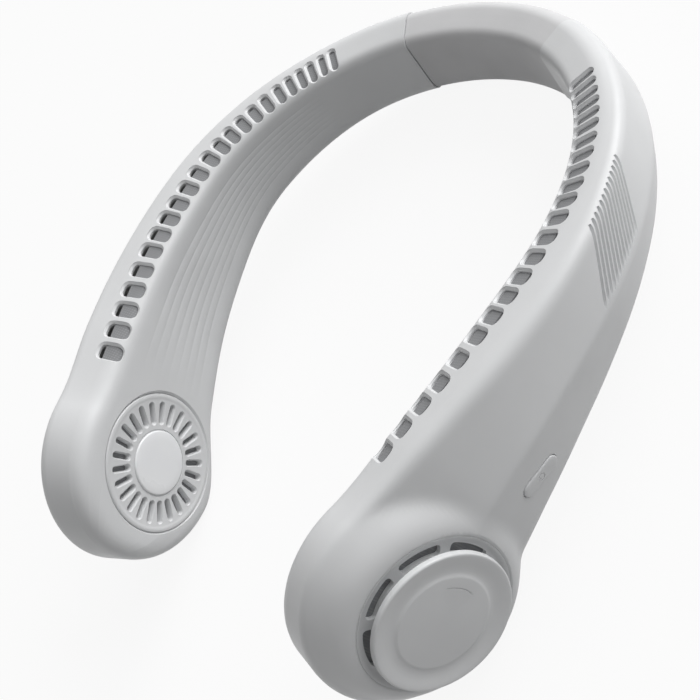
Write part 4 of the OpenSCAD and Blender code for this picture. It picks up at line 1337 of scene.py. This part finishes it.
@dataclass(frozen=True)
class Pod:
    """What closes a pod on both sides; heights are counted outwards from the vent line."""

    side: Side
    grille_r: float = 23.7
    face: float = -4.6
    slots: int = 25
    slot_from: float = 13.2
    slot_to: float = 20.7
    slot_w: float = 1.9
    disc_r: float = 11.0
    intake_r: float = 24.18
    deck: float = 20.9
    openings: int = 8
    opening_from: float = 18.6
    opening_to: float = 21.9
    web: float = math.radians(9)
    corner: float = 1.1
    cap_r: float = 21.7
    cap_face: float = 26.5
    boss_r: float = 14.4
    arc_r: float = 10.9
    arc_from: float = -182.0
    arc_to: float = -127.0

    def grille(self) -> bmesh.types.BMesh:
        """Round plate with radial slots, a raised lip and a flange behind the wall.

        Returns:
            The plate.
        """
        f, r, d = self.face, self.grille_r, self.disc_r
        bm = turned([(0, f), (d - 0.1, f), (d + 0.05, f + 0.35), (d + 0.35, f + 0.35),
                     (d + 0.5, f + 0.05), (21.5, f + 0.12), (22.0, f + 0.02), (22.3, f - 0.08),
                     (23.0, f - 0.1), (23.4, f), (r, f + 0.35), (r, -2.45), (24.3, -2.45),
                     (24.3, -1.45), (22.4, -1.45), (22.2, -2.2), (0, -2.2)], self.slots * 5)
        shift = Vector(((self.slot_from + self.slot_to) / 2, 0, 0))
        rows = pill((self.slot_to - self.slot_from) / 2, self.slot_w / 2,
                    ((f - 1.0, 1.2), (f + 0.6, 0.0), (f + 3.6, -0.15)))
        slots = bmesh.new()
        for i in range(self.slots):
            turn = Matrix.Rotation((i + 0.5) * math.tau / self.slots, 4, "Z")
            loft(slots, [[turn @ (p + shift) for p in row] for row in rows])
        return carve(bm, [slots])

    def disc(self) -> bmesh.types.BMesh:
        """Bare disc in the grille's middle, slightly crowned, with a rounded edge.

        Returns:
            The disc.
        """
        f, r = self.face, self.disc_r
        return turned([(0, f - 0.6), (4.0, f - 0.59), (8.0, f - 0.54), (r - 0.6, f - 0.46),
                       (r - 0.3, f - 0.38), (r - 0.1, f - 0.2), (r - 0.05, f + 0.05),
                       (0, f + 0.05)], self.slots * 5)

    def mesh(self, r_in: float, r_out: float, n: float) -> bmesh.types.BMesh:
        """Thin grey ring of painted shade behind openings, slightly domed.

        Args:
            r_in: inner radius.
            r_out: outer radius.
            n: height of its lower face.

        Returns:
            The ring.
        """
        middle = (r_in + r_out) / 2
        return turned([(r_in, n), (middle, n + 0.05), (r_out, n), (r_out, n + 0.25),
                       (middle, n + 0.3), (r_in, n + 0.25)], 96)

    def opening(self) -> list[tuple[float, float]]:
        """Outline of an intake opening: an arc-shaped slot with rounded corners.

        Returns:
            The points (x, y).
        """
        half, c = math.pi / self.openings - self.web / 2, self.corner
        outer, inner = self.opening_to - c, self.opening_from + c
        at_outer, at_inner = half - c / outer, half - c / inner
        points = []
        for r, a, start in ((outer, at_outer, 0), (inner, at_inner, 90), (inner, -at_inner, 180),
                            (outer, -at_outer, 270)):
            for k in range(6):
                b = a + math.radians(start + 18 * k)
                points.append((r * math.cos(a) + c * math.cos(b),
                               r * math.sin(a) + c * math.sin(b)))
            edge = {90: self.opening_from, 270: self.opening_to}.get(start)
            if edge:
                turns = [a * (1 - k / 4) for k in range(1, 8)]
                points += [(edge * math.cos(b), edge * math.sin(b)) for b in turns]
        return points

    def intake(self) -> bmesh.types.BMesh:
        """Ring that closes the casing's opening.

        Returns:
            A skirt and a floor with the intake openings.
        """
        r, top = self.intake_r, self.deck
        bm = turned([(2.1, 19.3), (23.6, 19.3), (23.6, 14.7), (r, 14.7), (r, top + 0.72),
                     (r - 0.1, top + 0.8), (r - 0.3, top + 0.76), (r - 0.7, top + 0.6),
                     (r - 1.4, top + 0.24), (r - 1.75, top + 0.09), (r - 2.1, top), (2.1, top)],
                    128)
        cuts = bmesh.new()
        outline = self.opening()
        for i in range(self.openings):
            turn = Matrix.Rotation((i + 0.5) * math.tau / self.openings, 3, "Z")
            loft(cuts, [[turn @ Vector((x, y, z)) for x, y in outline] for z in (18.7, 22.0)])
        return carve(bm, [cuts])

    def cap(self) -> bmesh.types.BMesh:
        """Cap on its foot: a rounded rim round a raised middle.

        Returns:
            The cap, with a short arc cut into it.
        """
        r, top, boss, edge = self.cap_r, self.cap_face, self.boss_r, 0.6
        rim = [(r - edge + edge * math.cos(a), top - edge + edge * math.sin(a))
               for a in (math.radians(90 - 15 * k) for k in range(7))]
        bm = turned([(0, top - 0.3), (boss - 0.5, top - 0.3), (boss - 0.15, top - 0.35),
                     (boss + 0.15, top - 0.5), (boss + 0.5, top - 0.75), (boss + 1.0, top - 0.88),
                     (boss + 1.7, top - 0.9), (boss + 2.5, top - 0.84), (18.2, top - 0.58),
                     (19.6, top - 0.22), (20.6, top - 0.05), *rim,
                     (r, top - 1.9), (r - 0.3, top - 2.2), (17.8, top - 2.2), (17.8, self.deck),
                     (16.2, self.deck), (16.2, top - 2.6), (0, top - 2.6)], 128)
        groove, rows, steps = bmesh.new(), [], 24
        for k in range(steps + 1):
            a = math.radians(self.arc_from + (self.arc_to - self.arc_from) * k / steps)
            deep = 0.28 * min(1.0, k / 3, (steps - k) / 3) + 0.02
            way = Vector((math.cos(a), math.sin(a), 0))
            rows.append([way * (self.arc_r + 0.4) + Vector((0, 0, top)),
                         way * (self.arc_r - 0.4) + Vector((0, 0, top)),
                         way * self.arc_r + Vector((0, 0, top - 0.3 - deep))])
        loft(groove, rows)
        return carve(bm, [groove])

    def build(self) -> None:
        """Makes the pod's four pieces and the grey rings of painted shade behind its openings."""
        name = self.side.value
        for piece, bm, finish, slot, node, sharp in (
                ("grille_plate", self.grille(), CASING, "casing", "grille", 35.0),
                ("grille_insert", self.disc(), DISC, "disc", "grille_disc", 40.0),
                ("intake_ring", self.intake(), CASING, "casing", "intake_bezel", 35.0),
                ("fan_cap", self.cap(), CASING, "casing", "cap", 40.0)):
            finished(f"{name}_{piece}", bm, fan_matrix(), self.side, f"{name}_arm", finish,
                     [f"{name}_{node}"], sharp)
        # these grey rings are painted shade for the inside seen through the grille slots and intake openings
        for piece, bm in (("grille_shade_screen", self.mesh(12.4, 21.6, -2.15)),
                          ("intake_shade_screen", self.mesh(18.3, 22.6, 18.95))):
            finished(f"{name}_{piece}", bm, fan_matrix(), self.side, f"{name}_arm", MESH,
                     [])


# ---- Band ----


@dataclass(frozen=True)
class Band:
    """The bending band behind the neck: a silicone sleeve round a steel strip and a flat cable."""

    casing: Casing = Casing()
    half: float = 34.0
    middle: float = 12.0
    inset: float = 0.4
    channel: tuple[float, float, float, float] = (0.0, 4.4, -20.0, -6.0)
    core_at: tuple[float, float] = (2.3, -13.0)
    end_reach: float = 17.0

    def sleeve(self) -> bmesh.types.BMesh:
        """Right half of the sleeve.

        Returns:
            The sleeve from the middle of the back to the arm, with its channel.
        """
        bm = bmesh.new()
        stops = spaced(0.0, self.half, 1.0)
        plan = self.casing.plan
        surface(bm, [self.casing.ring(s, self.inset, FINE) for s in stops])
        n0, n1, z0, z1 = self.channel
        surface(bm, [[plan.place(s, n, z) for n, z in ((n0, z0), (n1, z0), (n1, z1), (n0, z1))]
                     for s in stops])
        ends = open_edges(bm)
        for end in (plan.place(0, 0, 0), plan.place(self.half, 0, 0)):
            near = [e for e in ends if (e.verts[0].co - end).xy.length < self.end_reach]
            bmesh.ops.triangle_fill(bm, use_beauty=True, edges=near)
        outward(bm)
        return bm

    def core(self, node: str, finish: Finish, side: Side) -> None:
        """Copies a CAD strip that lies inside the sleeve into a piece of its own, and hides the strip.

        Args:
            node: the strip's CAD node.
            finish: its finish.
            side: the side that it is on.
        """
        bm = bmesh.new()
        bm.from_mesh(frame["nodes"][node].data)
        bmesh.ops.remove_doubles(bm, verts=bm.verts[:], dist=1e-6)
        bmesh.ops.dissolve_limit(bm, angle_limit=math.radians(0.5), verts=bm.verts[:],
                                 edges=bm.edges[:])
        bmesh.ops.triangulate(bm, faces=bm.faces[:])
        piece = mesh_object(f"{node}_bent", bm)
        piece.data.materials.append(finish.material())
        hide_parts(node)
        self.bend(piece, side)

    def bend(self, piece: bpy.types.Object, side: Side) -> None:
        """Bakes a piece's place into its mesh; the span from the band's middle to an arm is worked out but not
        used.

        Args:
            piece: the piece.
            side: the side that it is on.
        """
        sign = -1 if side is Side.LEFT else 1
        start, end = (REST @ self.casing.plan.place(s, *self.core_at)
                      for s in (self.middle, self.half - 0.5))
        for point in (start, end):
            point.x *= sign
        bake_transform(piece)

    def build(self) -> None:
        """Makes both halves of the sleeve and the strips inside it."""
        for side in Side:
            name = side.value
            piece = finished(f"{name}_band_half", self.sleeve(), UNMOVED, side, None,
                             SILICONE, [f"{name}_band_sleeve", "band_center"])
            self.bend(piece, side)
            self.core(f"{name}_band_spring", STEEL, side)
            self.core(f"{name}_band_ribbon", FLAT_CABLE, side)


# ---- Studio ----


@dataclass(frozen=True)
class Studio:
    """White floor and surroundings, two broad lamps behind the fan, and the camera."""

    camera_at: tuple[float, float, float] = (364.11, -248.97, 266.78)
    camera_right: tuple[float, float, float] = (0.64394, 0.55248, -0.52925)
    camera_up: tuple[float, float, float] = (-0.19077, 0.78586, 0.58825)
    lens: float = 79.1
    sensor: float = 36.0
    ambient: float = 0.29
    # azimuth, height and angular width in degrees, and strength
    lamps: tuple[tuple[float, float, float, float], ...] = ((60, 27, 40, 1.35), (90, 25, 40, 1.75))
    floor_size: float = 6.0
    # what the camera sees the shadow on, and what lights the fan from below
    paper_colour: str = "#F4F4F4"
    floor_colour: str = "#B4B4B4"
    shadow_share: float = 0.1

    def camera(self) -> None:
        """The photograph's camera, found on the worn fan and laid over with it."""
        data = bpy.data.cameras.new("camera")
        data.lens, data.sensor_width = self.lens, self.sensor
        data.clip_start, data.clip_end = 0.01, 20.0
        x, y = Vector(self.camera_right).normalized(), Vector(self.camera_up)
        y = (y - x * x.dot(y)).normalized()
        turn = Matrix((x, y, x.cross(y))).transposed()
        lean = REST.to_3x3().normalized()
        made = bpy.data.objects.new("camera", data)
        made.matrix_world = (Matrix.Translation(REST @ Vector(self.camera_at))
                             @ (lean @ turn).to_4x4())
        bpy.context.scene.collection.objects.link(made)
        bpy.context.scene.camera = made

    def light(self) -> None:
        """Places the lamps."""
        for i, (azimuth, height, width, strength) in enumerate(self.lamps):
            data = bpy.data.lights.new(f"soft_lamp_{i}", "SUN")
            data.energy, data.angle = strength, math.radians(width)
            made = bpy.data.objects.new(f"soft_lamp_{i}", data)
            a, e = math.radians(azimuth), math.radians(height)
            way = Vector((math.cos(e) * math.cos(a), math.cos(e) * math.sin(a), math.sin(e)))
            made.rotation_euler = way.to_track_quat("Z", "Y").to_euler()
            bpy.context.scene.collection.objects.link(made)

    def seen_share(self, tree: bpy.types.NodeTree) -> Any:
        """1 for rays that show the surroundings, in the picture or in a gloss, and else 0.

        Args:
            tree: the tree of a material or of the world.

        Returns:
            The share's socket.
        """
        path = add_node(tree, "ShaderNodeLightPath").outputs
        seen = path["Is Camera Ray"]
        for ray in ("Is Glossy Ray", "Is Transmission Ray"):
            either = add_node(tree, "ShaderNodeMath", {"operation": "MAXIMUM"})
            tree.links.new(seen, either.inputs[0])
            tree.links.new(path[ray], either.inputs[1])
            seen = either.outputs[0]
        return seen

    def joined(self, tree: bpy.types.NodeTree, share: Any, a: Any, b: Any) -> Any:
        """Joins two shaders.

        Args:
            tree: the tree.
            share: a number or a socket.
            a: shader where the share is 0.
            b: shader where the share is 1.

        Returns:
            The joined shader's socket.
        """
        mix = add_node(tree, "ShaderNodeMixShader")
        if isinstance(share, float):
            mix.inputs[0].default_value = share
        else:
            tree.links.new(share, mix.inputs[0])
        tree.links.new(a, mix.inputs[1])
        tree.links.new(b, mix.inputs[2])
        return mix.outputs[0]

    def surroundings(self) -> None:
        """Even light from all round, white where it is seen."""
        world = bpy.data.worlds.new("white_surroundings")
        bpy.context.scene.world = world
        tree = cleared_tree(world)
        dim, white = (add_node(tree, "ShaderNodeBackground", {"Color": (1, 1, 1, 1),
                               "Strength": strength}) for strength in (self.ambient, 1.0))
        both = self.joined(tree, self.seen_share(tree), dim.outputs[0], white.outputs[0])
        add_node(tree, "ShaderNodeOutputWorld", Surface=both)

    def floor(self) -> None:
        """White floor that keeps a faint shadow of the fan."""
        bm = bmesh.new()
        bmesh.ops.create_grid(bm, x_segments=4, y_segments=4, size=self.floor_size / 2)
        made = mesh_object("floor", bm)
        material = bpy.data.materials.new("white_paper_floor")
        tree = cleared_tree(material)
        lit = add_node(tree, "ShaderNodeBsdfDiffuse", {"Color": linear(self.paper_colour)})
        dim = add_node(tree, "ShaderNodeBsdfDiffuse", {"Color": linear(self.floor_colour)})
        white = add_node(tree, "ShaderNodeEmission", {"Color": (1, 1, 1, 1), "Strength": 1.0})
        seen = self.joined(tree, self.shadow_share, white.outputs[0], lit.outputs[0])
        both = self.joined(tree, self.seen_share(tree), dim.outputs[0], seen)
        add_node(tree, "ShaderNodeOutputMaterial", Surface=both)
        made.data.materials.append(material)

    def build(self) -> None:
        """Sets up the whole studio."""
        self.camera()
        self.light()
        self.surroundings()
        self.floor()
        bpy.context.scene.view_settings.view_transform = "Standard"


def dress_kept_nodes() -> None:
    """Gives the CAD nodes that stay in view their finishes."""
    for name, node in frame["nodes"].items():
        for ending, (finish, slot) in KEPT_FINISHES.items():
            if name == ending or name.endswith("_" + ending):
                node.data.materials.clear()
                node.data.materials.append(finish.material())
                LOG.info("%s: %s", name, finish.name)


def main() -> None:
    """Builds the fan, its finishes and the studio."""
    Studio().build()
    dress_kept_nodes()
    Arms().build()
    for side in Side:
        Pod(side).build()
    Button().build()
    Band().build()


if __name__ == "__main__":
    logging.basicConfig(level=logging.INFO, format="%(name)s %(message)s")
    main()
